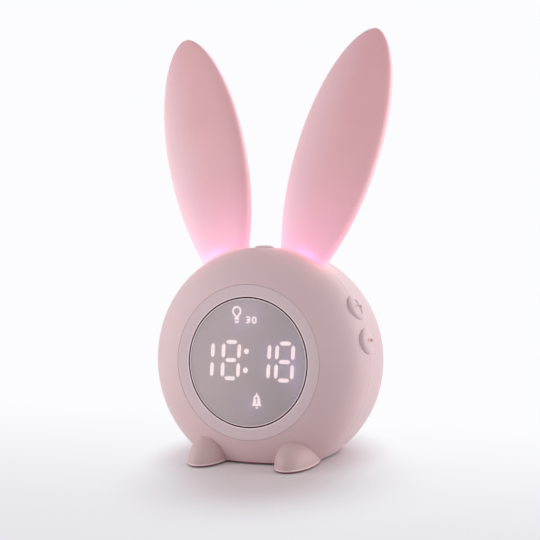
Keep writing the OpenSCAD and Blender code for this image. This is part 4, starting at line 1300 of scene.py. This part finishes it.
@dataclass
class Case:
    """Front and rear shell, cut open for the ears, keys, screws, speaker and charging socket."""

    form: CaseForm
    ears: Tuple[EarForm, ...]
    columns: int = 300
    edge: float = 0.40
    face_edge: float = 0.12
    seam_gap: float = 0.05
    base_edge: float = 0.1
    ear_gap: float = 0.15
    key_gap: float = 0.07
    key_pocket_gap: float = 0.03
    key_room: float = 0.95
    key_rest_gap: float = 0.05
    hole_beyond: float = 6.0
    slot_below: float = 4.0
    slot_above: float = 6.0
    seat_front: float = -14.5
    seat_back: float = -13.0
    seat_out: float = 38.6
    seat_in: float = 34.6
    ring_back: float = -14.9
    lip_out: float = 52.7
    lip_in: float = 51.5
    lip_height: float = 2.0
    lip_root: Tuple[Spot, ...] = ((51.5, 1.0), (52.9, 2.4))
    inner_start: float = 3.0
    grille_rings: int = 3
    grille_pitch: float = 3.6
    grille_hole: float = 0.9
    grille_start: float = 35.0
    speaker_z: float = 14.0
    screw_ring: float = 42.5
    screw_angles: Tuple[float, ...] = (55.0, 125.0, 230.0, 310.0)
    screw_head: float = 2.5
    screw_start: float = 24.0
    socket_half: Spot = (4.1, 1.8)
    socket_corner: float = 1.6
    socket_z: float = -20.0
    socket_start: float = 36.0
    beyond: float = 60.0
    block_half: float = 80.0
    block_top: float = 90.0

    def front_profile(self) -> Array:
        """Draws the front shell's section: outer curve, seam edge, inner curve and ring seat.

        Returns:
            Points of r and y.
        """
        f, seam = self.form, self.form.seam_y
        outer = f.front(0.0, -f.face_forward, seam - self.seam_gap, 64)
        outer[0, 0] = f.face_radius + self.face_edge
        lip = np.array([[f.face_radius, -f.face_forward + self.face_edge]])
        rim = outer[-1, 0]
        edge = np.array(
            [[rim - self.edge * 0.3, seam - self.seam_gap + self.edge * 0.25], [rim - self.edge, seam]]
        )
        outer = outer[outer[:, 1] < seam - self.edge]
        inner = f.front(f.wall, self.seat_front, seam, 20)[::-1]
        seat = np.array([[self.seat_out, self.seat_front], [self.seat_out, self.seat_back],
                         [self.seat_in, self.seat_back], [self.seat_in, self.ring_back],
                         [f.face_radius, self.ring_back]])
        return np.concatenate([lip, outer, edge, inner, seat])

    def rear_profile(self) -> Array:
        """Draws the rear shell's section from its outer pole round the seam to its inner pole.

        Returns:
            Points of r and y.
        """
        f, seam = self.form, self.form.seam_y
        front = f.front(0.0, seam + self.edge, -self.seam_gap, 6)
        outer = np.concatenate([front, f.rear(0.0, 110)])[::-1]
        rim = outer[-1, 0]
        edge = np.array([[rim - self.edge * 0.3, seam + self.edge * 0.3], [rim - self.edge, seam]])
        top = seam - self.lip_height
        lip = np.array([(self.lip_out, seam), (self.lip_out, top), (self.lip_in, top), *self.lip_root])
        inner = f.rear(f.wall, 60)
        return np.concatenate([outer, edge, lip, inner[inner[:, 1] > self.inner_start]])

    def openings(self) -> List[Grid]:
        """Draws what both shells leave open.

        Returns:
            Grids of the ears' slots and of the keys' holes with their pockets.
        """
        cuts = [ear.slot(self.ear_gap, self.slot_below, self.slot_above) for ear in self.ears]
        for key in KEYS:
            play = key.diameter / 2 + abs(key.drift) / 2
            hole, pocket = play + self.key_gap, play + key.flange + self.key_pocket_gap
            low, high = key.seat - self.key_room, key.seat + key.flange_height + self.key_rest_gap
            out = self.form.radius + self.hole_beyond
            steps = ((0.0, low), (pocket, low), (pocket, high), (hole, high), (hole, out), (0.0, out))
            aside = Rigid(np.eye(3), (0.0, key.drift / 2, 0.0))
            cuts.append(moved(moved(pillar(np.array(steps), 96), aside), key.place))
        return cuts

    def planes(self) -> List[Grid]:
        """Draws the blocks that cut the flat base and the small flat on top.

        Returns:
            The grids of the two blocks.
        """
        f, half = self.form, self.block_half
        square = np.array([[-half, -half], [half, -half], [half, half], [-half, half]])
        base = moved(stack(square, -self.beyond, f.base_height + self.base_edge), CASE.undone())
        return [base, stack(square, f.top_flat, self.block_top)]

    def bored(self, outline: Array, start: float, x: float, z: float) -> Grid:
        """Returns a hole through the back, from a depth of the case outward.

        Args:
            outline: The hole's shape.
            start: Where it starts, as y.
            x: Its place to the right of the case's middle.
            z: Its place above the case's middle.

        Returns:
            The grid of what is taken out.
        """
        return moved(stack(outline, start, self.beyond), Rigid(turned_by(Axis.X, -90.0), (x, 0.0, z)))

    def back_openings(self) -> List[Grid]:
        """Draws what the rear shell alone leaves open.

        Returns:
            Grids of the grille's rings of holes, the screw holes and the socket's opening.
        """
        cuts = []
        for ring in range(self.grille_rings):
            r = ring * self.grille_pitch
            for a in full_turn(max(1, 6 * ring)):
                hole = round_outline(self.grille_hole, 32)
                x, z = r * math.cos(a), self.speaker_z + r * math.sin(a)
                cuts.append(self.bored(hole, self.grille_start, x, z))
        for a in np.radians(self.screw_angles):
            x, z = self.screw_ring * math.cos(a), self.screw_ring * math.sin(a)
            cuts.append(self.bored(round_outline(self.screw_head, 48), self.screw_start, x, z))
        outline = box_outline(*self.socket_half, self.socket_corner, 8)
        return cuts + [self.bored(outline, self.socket_start, 0.0, self.socket_z)]

    def build(self) -> Pieces:
        """Turns both shells and cuts their openings.

        Returns:
            The front shell and the rear shell, by the node that each stands for.
        """
        front = as_object("front_case", [lathe(self.front_profile(), self.columns, True)], Rigid())
        rear = as_object("rear_case", [lathe(self.rear_profile(), self.columns)], Rigid())
        for piece, cuts in ((front, self.openings()), (rear, self.openings() + self.back_openings())):
            carved(piece, cuts, Rigid())
            carved(piece, self.planes(), Rigid())
            piece.data.transform(CASE.matrix())
            finished(piece, 30.0)
        return {"front_shell": front, "rear_shell": rear}

    def dress(self, pieces: Pieces) -> None:
        """Gives both shells their plastic and ties them to the case.

        Args:
            pieces: The two shells, by node.
        """
        glows = tuple(ear.glow for ear in self.ears)
        pink, deep = srgb(227, 198, 200), srgb(223, 194, 196)
        # The shell's lowest band carries painted contact shade.
        skin = SatinShell("soft_pink_shell", pink, deep, glows=glows, contact_shade_height=1.2).make()
        for node, piece in pieces.items():
            fitted(piece, skin, node)


@dataclass
class Face:
    """Bezel ring, smoked window, dark gasket and the film behind them."""

    form: CaseForm
    window_radius: float = 30.16
    window_back: float = -16.8
    window_inner: float = -18.6
    window_bevel: float = 0.15
    film_front: float = -18.55
    film_back: float = -16.4
    gasket_in: float = 30.19
    gasket_out: float = 30.84
    gasket_sunk: float = 0.2
    ring_in: float = 30.87
    ring_back: float = -14.9
    ring_gap: float = 0.06
    highlight_edge: float = 31.36
    ledge: float = 28.6
    columns: int = 256

    def ring(self) -> Array:
        """Draws the bezel's section, with soft edges on its face.

        Returns:
            Points of r and y.
        """
        y, out = -self.form.face_forward, self.form.face_radius - self.ring_gap
        return softened([
            (self.ring_in, y, 0.2), (out, y, 0.25), (out, self.ring_back, 0.1),
            (self.ledge, self.ring_back, 0.1), (self.ledge, self.window_back, 0.1),
            (self.ring_in, self.window_back, 0.0),
        ])

    def window(self) -> Array:
        """Draws the window's section, flat with a soft edge.

        Returns:
            Points of r and y, close together across the flat.
        """
        y, r, back = -self.form.face_forward, self.window_radius, self.window_inner
        corners = [(0.0, y, 0.0), (r, y, self.window_bevel), (r, back, 0.1), (0.0, back, 0.0)]
        edge = softened(corners, closed=False)
        return np.concatenate([even_steps(edge[:2], 12)[:-1], edge[1:]])

    def gasket(self) -> Array:
        """Draws the gasket's section, a thin ring with a rounded front.

        Returns:
            Points of r and y.
        """
        y = -self.form.face_forward + self.gasket_sunk
        return softened([
            (self.gasket_in, y, 0.2), (self.gasket_out, y, 0.2),
            (self.gasket_out, self.window_back, 0.0), (self.gasket_in, self.window_back, 0.0),
        ])

    def film(self) -> Array:
        """Draws the section of the film and its carrier, which fill the window's pocket.

        Returns:
            Points of r and y.
        """
        wide, narrow, step = self.window_radius - 0.1, self.ledge - 0.1, self.window_back - 0.05
        return softened([
            (0.0, self.film_front, 0.0), (wide, self.film_front, 0.05), (wide, step, 0.05),
            (narrow, step, 0.05), (narrow, self.film_back, 0.1), (0.0, self.film_back, 0.0),
        ], closed=False)

    def build(self) -> Pieces:
        """Turns the four sections.

        Returns:
            The four pieces, by the node that each stands for.
        """
        shapes = {
            "face_ring": ("bezel", self.ring(), True),
            "display_window": ("window", self.window(), False),
            "window_gasket": ("gasket", self.gasket(), True),
            "mask_film": ("grey_film", self.film(), False),
        }
        return {
            node: finished(as_object(name, [lathe(profile, self.columns, loop)], CASE), 60.0)
            for node, (name, profile, loop) in shapes.items()
        }

    def dress(self, pieces: Pieces) -> None:
        """Gives each piece its finish and ties it to the case.

        Args:
            pieces: The four pieces, by node.
        """
        pink, deep = srgb(226, 204, 207), srgb(222, 200, 203)
        dark, darker = srgb(98, 30, 40), srgb(84, 25, 34)
        # The ring's inner edge carries a painted highlight.
        ring = SatinShell("pale_pink_ring", pink, deep, 0.40, highlight_radius=self.highlight_edge)
        gasket = Plain("dark_gasket", dark, darker, roughness=0.8, specular=0.0)
        looks = (
            ("face_ring", ring, "pink_ring"),
            ("display_window", SmokedWindow("smoked_window"), "smoked_window"),
            ("window_gasket", gasket, "dark_gasket"),
            ("mask_film", GreyFilm("grey_film"), "black_film"),
        )
        for node, look, slot in looks:
            fitted(pieces[node], look.make(), node)


@dataclass
class Foot:
    """One foot: an oval dome with a rounded sole, hollowed where it meets the case."""

    side: int
    form: CaseForm
    x: float = 22.5
    forward: float = 16.4
    width: float = 19.0
    length: float = 33.6
    height: float = 13.4
    sole_gap: float = 0.35
    sole_inset: float = 1.2
    sole_round: float = 0.6
    power: float = 2.8
    dome_power: float = 0.62
    rake: float = 0.1
    gap: float = 0.1
    columns: int = 144
    rows: int = 60

    @property
    def node(self) -> str:
        """The CAD node of this foot."""
        return "left_foot" if self.side < 0 else "right_foot"

    def outline(self) -> Array:
        """Draws the foot's section.

        The dome is (1 - (z/h)^n)^0.62. Below it a quarter circle turns under, and the sole is set in.

        Returns:
            Points of the share of the full size and the height.
        """
        half = self.width / 2
        z = np.linspace(self.sole_gap + self.sole_round, self.height, 3000)
        dome = np.stack([(1 - (z / self.height) ** self.power) ** self.dome_power, z], -1) * [half, 1]
        dome = even_steps(dome, self.rows)
        t = np.linspace(0.0, math.pi / 2, 7)[:-1]
        under = dome[0] - np.stack([self.sole_round * (1 - np.sin(t)), self.sole_round * np.cos(t)], -1)
        sole = dome[0, 0] - self.sole_inset
        low = [[0.0, 0.0], [sole, 0.0], [sole, self.sole_gap]]
        return np.concatenate([low, under, dome]) / [half, 1]

    def build(self) -> bpy.types.Object:
        """Draws the foot, which leans back with its height, and hollows it for the case.

        Returns:
            The foot, standing on the ground.
        """
        k, z = self.outline().T
        a = full_turn(self.columns)
        x = k[:, None] * self.width / 2 * np.cos(a) + self.side * self.x
        y = k[:, None] * self.length / 2 * np.sin(a) + self.rake * z[:, None] - self.forward
        piece = as_object(self.node + "_dome", [tower(np.stack([x, y], -1), z)], GROUND)
        carved(piece, [self.form.solid(self.gap)], CASE)
        return finished(piece, 40.0)

    def dress(self, piece: bpy.types.Object, material: bpy.types.Material) -> None:
        """Gives the foot its plastic and ties it to the case."""
        fitted(piece, material, self.node)


@dataclass
class Pad:
    """Grip pad under the case, with a soft lower edge."""

    half: Spot = (20.0, 13.0)
    corner: float = 6.0
    thickness: float = 1.5
    edge: float = 0.35

    def build(self) -> bpy.types.Object:
        """Draws a rounded rectangle whose lowest rings draw in along a quarter circle.

        Returns:
            The pad.
        """
        t = np.linspace(0.0, math.pi / 2, 6)
        inset = np.concatenate([self.edge * (1 - np.sin(t)), [0.0]])
        z = np.concatenate([[0.0], self.edge * (1 - np.cos(t)), [self.thickness, self.thickness]])
        share = 1 - inset[:, None] / np.array(self.half)
        rings = box_outline(*self.half, self.corner, 14)[None] * share[:, None, :]
        grid = tower(np.concatenate([0 * rings[:1], rings, 0 * rings[:1]]), z)
        return finished(as_object("sole_pad", [grid], GROUND), 40.0)

    def dress(self, piece: bpy.types.Object) -> None:
        """Gives the pad its rubber and ties it to the case."""
        rubber = Plain("grip_rubber", srgb(92, 86, 88), srgb(78, 72, 75), Pattern.FIBRES, 0.8)
        fitted(piece, rubber.make(), "grip_pad")


@dataclass
class LitGroup:
    """Milky light guides that end at the back of the window."""

    front: float = -18.57
    back: float = -13.0
    ending: str = ""

    def plate(self, outline: Array, place: Spot = (0.0, 0.0)) -> Grid:
        """Returns a flat outline of x and z as a closed plate at its place on the face."""
        grid = stack(outline + np.asarray(place), -self.back, -self.front)
        return moved(grid, Rigid(turned_by(Axis.X, 90.0)))

    def between(self, left: Array, right: Array) -> Array:
        """Joins two lines by rings of four corners, two at the front and two at the back.

        Args:
            left: Points of x and z on one side.
            right: As many points on the other side.

        Returns:
            Array of (rings, 4, 3).
        """
        corners = ((left, self.front), (right, self.front), (right, self.back), (left, self.back))
        return np.stack([np.insert(line, 1, y, axis=1) for line, y in corners], 1)

    def bar(self, path: Array, width: float, place: Spot, closed: bool) -> Grid:
        """Carries a flat bar along a path in the plane of the face.

        The bar's two sides lie half its width along the path's normal to either side, so each
        point of the path has a section of four corners.

        Args:
            path: Points of x and z.
            width: Width of the bar.
            place: Where the path's origin goes.
            closed: Whether the path joins up.

        Returns:
            The grid of the bar.
        """
        path = path + np.asarray(place)
        ahead = np.roll(path, -1, 0) - path
        behind = path - np.roll(path, 1, 0)
        if not closed:
            ahead[-1], behind[0] = behind[-1], ahead[0]
        way = sum(step / np.linalg.norm(step, axis=1, keepdims=True) for step in (ahead, behind))
        way /= np.linalg.norm(way, axis=1, keepdims=True)
        side = np.stack([-way[:, 1], way[:, 0]], -1) * width / 2
        rings = self.between(path + side, path - side)
        return Grid(rings, True) if closed else capped(rings)

    def shapes(self) -> Dict[str, List[Grid]]:
        """Returns the group's grids by the node that each piece stands for."""
        return {}

    def build(self) -> Pieces:
        """Makes one object of each node's grids.

        Returns:
            The group's pieces, by the node that each stands for.
        """
        return {
            node: finished(as_object(node.split("_")[0] + self.ending, grids, CASE))
            for node, grids in self.shapes().items()
        }

    def dress(self, pieces: Pieces, material: bpy.types.Material) -> None:
        """Lights the pieces and ties them to the case."""
        for node, piece in pieces.items():
            fitted(piece, material, node)


@dataclass
class Digits(LitGroup):
    """The clock's lit figures: slanted strokes with pointed ends, and the colon's two dots."""

    ending: str = "_figures"
    middle: float = 0.85
    pitch: float = 8.6
    upright_middle: float = 0.76
    upright_pitch: float = 8.95
    gap: float = 8.15
    width: float = 1.9
    upright: float = 6.85
    bar_length: float = 5.9
    slant: float = 3.2
    hours: Spot = (-18.4, -8.7)
    minutes: Spot = (11.0, 19.0)
    colon_x: float = -0.8
    dot: float = 1.3

    def leaning(self, outline: Array) -> Grid:
        """Returns a plate whose points are moved sideways by (z - middle) tan(slant)."""
        aside = (outline[:, 1] - self.middle) * math.tan(math.radians(self.slant))
        return self.plate(np.stack([outline[:, 0] + aside, outline[:, 1]], -1))

    def stroke(self, x: float, z: float, length: float, upright: bool) -> Grid:
        """Returns one stroke, whose ends taper to a soft point within half its width.

        Args:
            x: Middle of the stroke, across.
            z: Middle of the stroke, upward.
            length: From point to point.
            upright: Whether it stands, or else lies level.

        Returns:
            The grid of the stroke.
        """
        h, w = length / 2, self.width / 2
        shape = softened([(0, h, 0.05), (w, h - w, 0.1), (w, w - h, 0.1),
                          (0, -h, 0.05), (-w, w - h, 0.1), (-w, h - w, 0.1)], 3)
        return self.leaning((shape if upright else shape[:, ::-1]) + [x, z])

    def heights(self) -> Spot:
        """Returns the middles of the lower and the upper half of a figure."""
        return tuple(self.upright_middle + s * self.upright_pitch / 2 for s in (-1, 1))

    def one(self, x: float) -> List[Grid]:
        """Returns a one, which is two upright strokes."""
        return [self.stroke(x, z, self.upright, True) for z in self.heights()]

    def eight(self, x: float) -> List[Grid]:
        """Draws an eight: a one on either side and three level strokes.

        Args:
            x: Middle of the figure, across.

        Returns:
            The grids of its seven strokes.
        """
        sides = [grid for s in (-1, 1) for grid in self.one(x + s * self.gap / 2)]
        levels = [self.middle + s * self.pitch for s in (-1, 0, 1)]
        return sides + [self.stroke(x, z, self.bar_length, False) for z in levels]

    def shapes(self) -> Dict[str, List[Grid]]:
        """Draws the hours, the minutes and the colon.

        Returns:
            Their grids, by node.
        """
        dots = [self.leaning(round_outline(self.dot, 40) + (self.colon_x, z)) for z in self.heights()]
        return {
            "hour_digits": self.one(self.hours[0]) + self.eight(self.hours[1]),
            "minute_digits": self.one(self.minutes[0]) + self.eight(self.minutes[1]),
            "colon_dots": dots,
        }


@dataclass
class Signs(LitGroup):
    """The lamp, timer and bell signs."""

    ending: str = "_sign"
    lamp: Spot = (-5.7, 24.0)
    lamp_radius: float = 1.98
    lamp_line: float = 0.96
    timer: Spot = (1.75, 20.0)
    three_line: float = 0.72
    nought_line: float = 0.76
    bell: Spot = (4.9, -20.2)
    bell_height: float = 5.2
    knob_line: float = 0.72

    def lamp_grids(self) -> List[Grid]:
        """Draws the lamp: a ring that narrows to a neck, closed below by a bar, and a small rounded cap.

        Returns:
            The grids of the ring, the bar and the cap.
        """
        a = np.radians(np.linspace(-50.0, 230.0, 48))
        globe = self.lamp_radius * np.stack([np.cos(a), np.sin(a)], -1)
        neck = np.array([[-0.44, -2.6], [-0.40, -3.0], [0.40, -3.0], [0.44, -2.6]])
        bulb = even_steps(np.concatenate([globe, neck, globe[:1]]), 90)[:-1]
        bar = softened([(-1.5, -3.95, 0.2), (1.5, -3.95, 0.2), (1.25, -3.2, 0.3), (-1.25, -3.2, 0.3)], 4)
        cap = softened([(-0.65, -5.7, 0.6), (0.65, -5.7, 0.6), (1.3, -4.5, 0.25), (-1.3, -4.5, 0.25)], 6)
        plates = [self.plate(outline, self.lamp) for outline in (bar, cap)]
        return [self.bar(bulb, self.lamp_line, self.lamp, True), *plates]

    def timer_grids(self) -> List[Grid]:
        """Draws the timer's mark: a three of two hooks, and a nought.

        Returns:
            The grids of the hooks and the nought.
        """
        hook = softened([(-1.05, 1.32, 0), (0.82, 1.32, 0.6), (0.82, 0.0, 0.5), (-0.45, 0.0, 0)], 6, False)
        x, z = self.timer
        halves = (hook, hook * [1.0, -1.0])
        three = [self.bar(half, self.three_line, (x - 1.6, z + 0.08), False) for half in halves]
        return three + [self.bar(box_outline(0.8, 1.24, 0.7, 8), self.nought_line, (x + 1.65, z), True)]

    def bell_grids(self) -> List[Grid]:
        """Draws the bell: two halves that flare downward and leave out a one between them.

        At height h above the rim, t of the whole, the outer edge lies at
        1.8 (1 - ((t - 0.42) / 0.58)^2.4)^0.5 + 0.95 exp(-h / 0.7). A knob and a clapper are added.

        Returns:
            The grids of the halves, the knob and the clapper.
        """
        t = np.linspace(0.0, 1.0, 90)
        h = t * self.bell_height
        dome = 1.8 * np.clip(1 - np.clip((t - 0.42) / 0.58, 0, 1) ** 2.4, 0, 1) ** 0.5
        outer = np.maximum(dome + 0.95 * np.exp(-h / 0.7), 0.3)
        stem = (h > 1.05) & (h < 4.35)
        flag = np.where((h > 3.35) & (h < 4.1), 0.35 + 0.9 * (4.1 - h), 0.0)
        halves = []
        for side, one in ((-1, np.maximum(flag, 0.3)), (1, 0.3)):
            inner = np.minimum(np.where(stem, one, 0.0), outer - 0.15)
            lines = (np.stack([side * edge, h], -1) + self.bell for edge in (inner, outer))
            halves.append(capped(self.between(*lines)))
        knob = np.array([[0.0, self.bell_height - 0.2], [0.0, self.bell_height + 0.9]])
        clapper = round_outline(1.0, 24) * [0.68, 0.42] + [0.0, -0.85]
        top = self.bar(even_steps(knob, 4), self.knob_line, self.bell, False)
        return halves + [top, self.plate(clapper, self.bell)]

    def shapes(self) -> Dict[str, List[Grid]]:
        """Draws the three signs.

        Returns:
            Their grids, by node.
        """
        return {
            "lamp_symbol": self.lamp_grids(),
            "timer_mark": self.timer_grids(),
            "bell_symbol": self.bell_grids(),
        }


# ---------------------------------------------------------------- carried-over pieces


def dress_frame(other: bpy.types.Material) -> None:
    """Gives every CAD piece that keeps its shape its own finish.

    Args:
        other: Plastic of the nodes that new pieces stand for.
    """
    looks = (
        (Plain("green_board", srgb(34, 104, 62), srgb(60, 140, 86), Pattern.TRACES, 0.4),
         "display_board left_ear_board right_ear_board "
         "top_key_board right_key_board left_key_board main_board"),
        (Plain("black_plastic", srgb(34, 34, 37), srgb(46, 45, 48), Pattern.MOULDED, 0.5),
         "top_switch plus_switch minus_switch set_switch clock_chip"),
        (Plain("white_plastic", srgb(236, 236, 232), srgb(226, 225, 221), Pattern.MOULDED, 0.45),
         "light_box top_plunger plus_plunger minus_plunger set_plunger ribbon_sockets speaker_clamp"),
        (Plain("plated_steel", srgb(190, 192, 197), srgb(150, 152, 158), Pattern.BRUSHED, 0.32, 1.0),
         "charge_socket speaker_frame case_screws small_screws"),
        (Plain("led_white", srgb(244, 240, 222), srgb(232, 224, 190), Pattern.MOULDED, 0.3),
         "display_leds left_ear_leds right_ear_leds"),
        (Plain("cell_wrap", srgb(186, 188, 194), srgb(170, 172, 179), Pattern.BRUSHED, 0.38, 0.4),
         "battery"),
        (Plain("ribbon", srgb(226, 228, 232), srgb(150, 153, 162), Pattern.STRIPES, 0.4), "display_ribbon"),
        (Plain("grey_foam", srgb(96, 96, 100), srgb(62, 62, 66), Pattern.FOAM, 0.9), "battery_foam"),
        (Plain("cone_paper", srgb(40, 39, 42), srgb(28, 27, 30), Pattern.FIBRES, 0.85), "speaker_cone"),
        (Plain("coated_magnet", srgb(52, 52, 56), srgb(40, 40, 44), Pattern.MOULDED, 0.35, 0.6),
         "speaker_magnet"),
    )
    finishes: Dict[str, bpy.types.Material] = {}
    for look, nodes in looks:
        finishes.update(dict.fromkeys(nodes.split(), look.make()))
    for node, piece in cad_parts.items():
        material = finishes.get(node, other)
        piece.data.materials.clear()
        piece.data.materials.append(material)
        LOG.info("%s keeps its shape, finished as %s", node, material.name)


# ---------------------------------------------------------------- stage


@dataclass(frozen=True)
class Lamp:
    """One square soft lamp that points at the clock.

    Azimuth goes round in degrees from the front towards the clock's right side, seen from above.
    Height is in degrees above the level, and distance and size are in metres. A lamp of power P at
    a distance d lights a surface that faces it at the level P / (pi^2 d^2), where 1 shows a colour
    as it is written.
    """

    name: str
    azimuth: float
    height: float
    distance: float
    size: float
    level: float

    def hang(self, middle: Spot3) -> None:
        """Puts the lamp in the scene.

        Args:
            middle: The spot that it points at, in metres.
        """
        a, h = math.radians(self.azimuth), math.radians(self.height)
        way = Vector((math.sin(a) * math.cos(h), -math.cos(a) * math.cos(h), math.sin(h)))
        data = bpy.data.lights.new(self.name, "AREA")
        data.shape = "SQUARE"
        data.size = self.size
        data.energy = self.level * math.pi**2 * self.distance**2
        made = linked(self.name, data)
        made.location = Vector(middle) + self.distance * way
        made.rotation_euler = (-way).to_track_quat("-Z", "Y").to_euler()
        made.visible_camera = False


@dataclass
class Stage:
    """Pale floor that fades into a white surround, soft lamps and the camera."""

    camera_spot: Spot3 = (291.18, -636.73, 48.75)
    camera_target: Spot3 = (2.97, 0.0, 43.37)
    camera_roll: float = 0.307
    lens_mm: float = 97.06
    middle: Spot3 = (0.0, 0.0, 0.09)
    lamps: Tuple[Lamp, ...] = (
        Lamp("left_softbox", -62.0, 8.0, 0.30, 0.25, 0.40),
        Lamp("right_softbox", 106.0, 8.0, 0.9, 0.7, 0.52),
        Lamp("back_softbox", 180.0, 36.0, 1.0, 1.3, 0.30),
    )
    surround: float = 0.53
    surround_colour: Colour = srgb(250, 250, 253)
    floor_rings: Tuple[float, ...] = (0.0, 150.0, 400.0, 800.0, 1600.0)
    # Painted shadow and painted pink bounce light on the floor near the clock's front.
    floor_shade: Colour = srgb(223, 210, 212)
    floor_tint: Colour = srgb(238, 234, 237)
    # Painted shade: the seen floor greys towards the front.
    floor_front_shade: Colour = srgb(231, 230, 235)
    floor_lift: float = 0.03
    lift_colour: Colour = srgb(250, 250, 255)
    shade_middle: Spot3 = (0.018, -0.046, 0.0)

    def floor(self) -> None:
        """Lays a pale floor that keeps the clock's shade close by, with a painted shadow colour near its
        front, and dissolves into the surround, greying towards the front in painted shade.
        """
        rings = np.array([(radius, 0.0) for radius in self.floor_rings])
        plane = finished(as_object("floor", [pillar(rings, 96)], GROUND))
        s = Shader("pale_floor")
        around, front = s.distance((0.0, 0.0, 0.0)), s.distance(self.shade_middle)
        depth = s.along((0.0, 1.0, 0.0), (0.0, 0.0, 0.0))
        seen = s.seen()
        # Painted shadow: the floor darker and pinker near the front of the clock.
        shadow_tone = s.mix(front.ramp(0.015, 0.07), self.floor_shade, self.floor_tint)
        lit = s.node("BsdfDiffuse", {"Color": shadow_tone})
        lift = s.node("Emission", {"Color": self.lift_colour, "Strength": self.floor_lift})
        lifted = s.node("MixShader", {0: seen, 2: lift.outputs[0]})
        near = s.node("AddShader", {0: lit.outputs[0], 1: lifted.outputs[0]})
        # Painted shade, greyer towards the front.
        white = s.mix(depth.ramp(-160.0, 100.0), self.floor_front_shade, NEAR_WHITE)
        clean = s.mix(around.ramp(0.3, 0.9), white, NEAR_WHITE)
        bright = s.node("Emission", {"Color": clean, "Strength": 1.0})
        share = front.ramp(0.01, 0.085) * around.ramp(0.035, 0.065) * seen
        s.show(s.node("MixShader", {0: share, 1: near.outputs[0], 2: bright.outputs[0]}))
        plane.data.materials.append(s.owner)

    def surround_light(self) -> None:
        """Sets a white surround, seen at full white and lighting at a plain level."""
        s = Shader("surround", Owner.WORLD)
        light = s.node("Background", {0: self.surround_colour, 1: self.surround})
        white = s.node("Background", {0: NEAR_WHITE, 1: 1.0})
        s.show(s.node("MixShader", {0: s.seen(), 1: light.outputs[0], 2: white.outputs[0]}))
        bpy.context.scene.world = s.owner

    def camera(self) -> None:
        """Sets the camera, with a slight roll."""
        spot, target = np.array(self.camera_spot), np.array(self.camera_target)
        back = (spot - target) / np.linalg.norm(spot - target)
        right = np.cross(-back, [0.0, 0.0, 1.0])
        right /= np.linalg.norm(right)
        up = np.cross(right, -back)
        c, s = math.cos(math.radians(self.camera_roll)), math.sin(math.radians(self.camera_roll))
        turn = CASE.turn @ np.stack([right * c + up * s, -right * s + up * c, back], 1)
        data = bpy.data.cameras.new("camera")
        data.lens = self.lens_mm
        data.sensor_width = 36.0
        data.clip_end = 20.0
        made = linked("camera", data)
        made.matrix_world = Rigid(turn, tuple(CASE.apply(spot) * MM)).matrix()
        bpy.context.scene.camera = made

    def build(self) -> None:
        """Sets up floor, surround, lamps and camera."""
        self.floor()
        self.surround_light()
        for lamp in self.lamps:
            lamp.hang(self.middle)
        self.camera()
        bpy.context.scene.view_settings.view_transform = "Standard"


def main() -> None:
    """Builds and dresses every sub-assembly in order."""
    logging.basicConfig(level=logging.INFO, format="%(message)s")
    form = CaseForm()
    ears = (
        EarForm(-1, hot_spot=-3.6, inner_light=(0.02, 0.010, 0.010, 1.0)),
        EarForm(1, hot_spot=3.4, inner_light=(0.04, 0.012, 0.012, 1.0)),
    )
    key_plastic = SatinShell("soft_pink_key", srgb(229, 201, 203), srgb(225, 197, 199), 0.42).make()
    # The feet carry a painted highlight line above the sole and painted contact shade below it.
    foot_plastic = SatinShell(
        "soft_pink_foot", srgb(213, 183, 182), srgb(209, 178, 178), rim_height=1.4, contact_shade_height=1.0
    ).make()
    lit = LitFigure("lit_guide").make()
    dress_frame(key_plastic)

    for shells in (Case(form, ears), Face(form)):
        shells.dress(shells.build())
    for lit_group in (Digits(), Signs()):
        lit_group.dress(lit_group.build(), lit)
    for ear in map(Ear, ears):
        ear.dress(ear.build())
    for key in map(Key, KEYS):
        key.dress(key.build(), key_plastic)
    for foot in (Foot(-1, form), Foot(1, form)):
        foot.dress(foot.build(), foot_plastic)
    pad = Pad()
    pad.dress(pad.build())
    Stage().build()


if __name__ == "__main__":
    main()
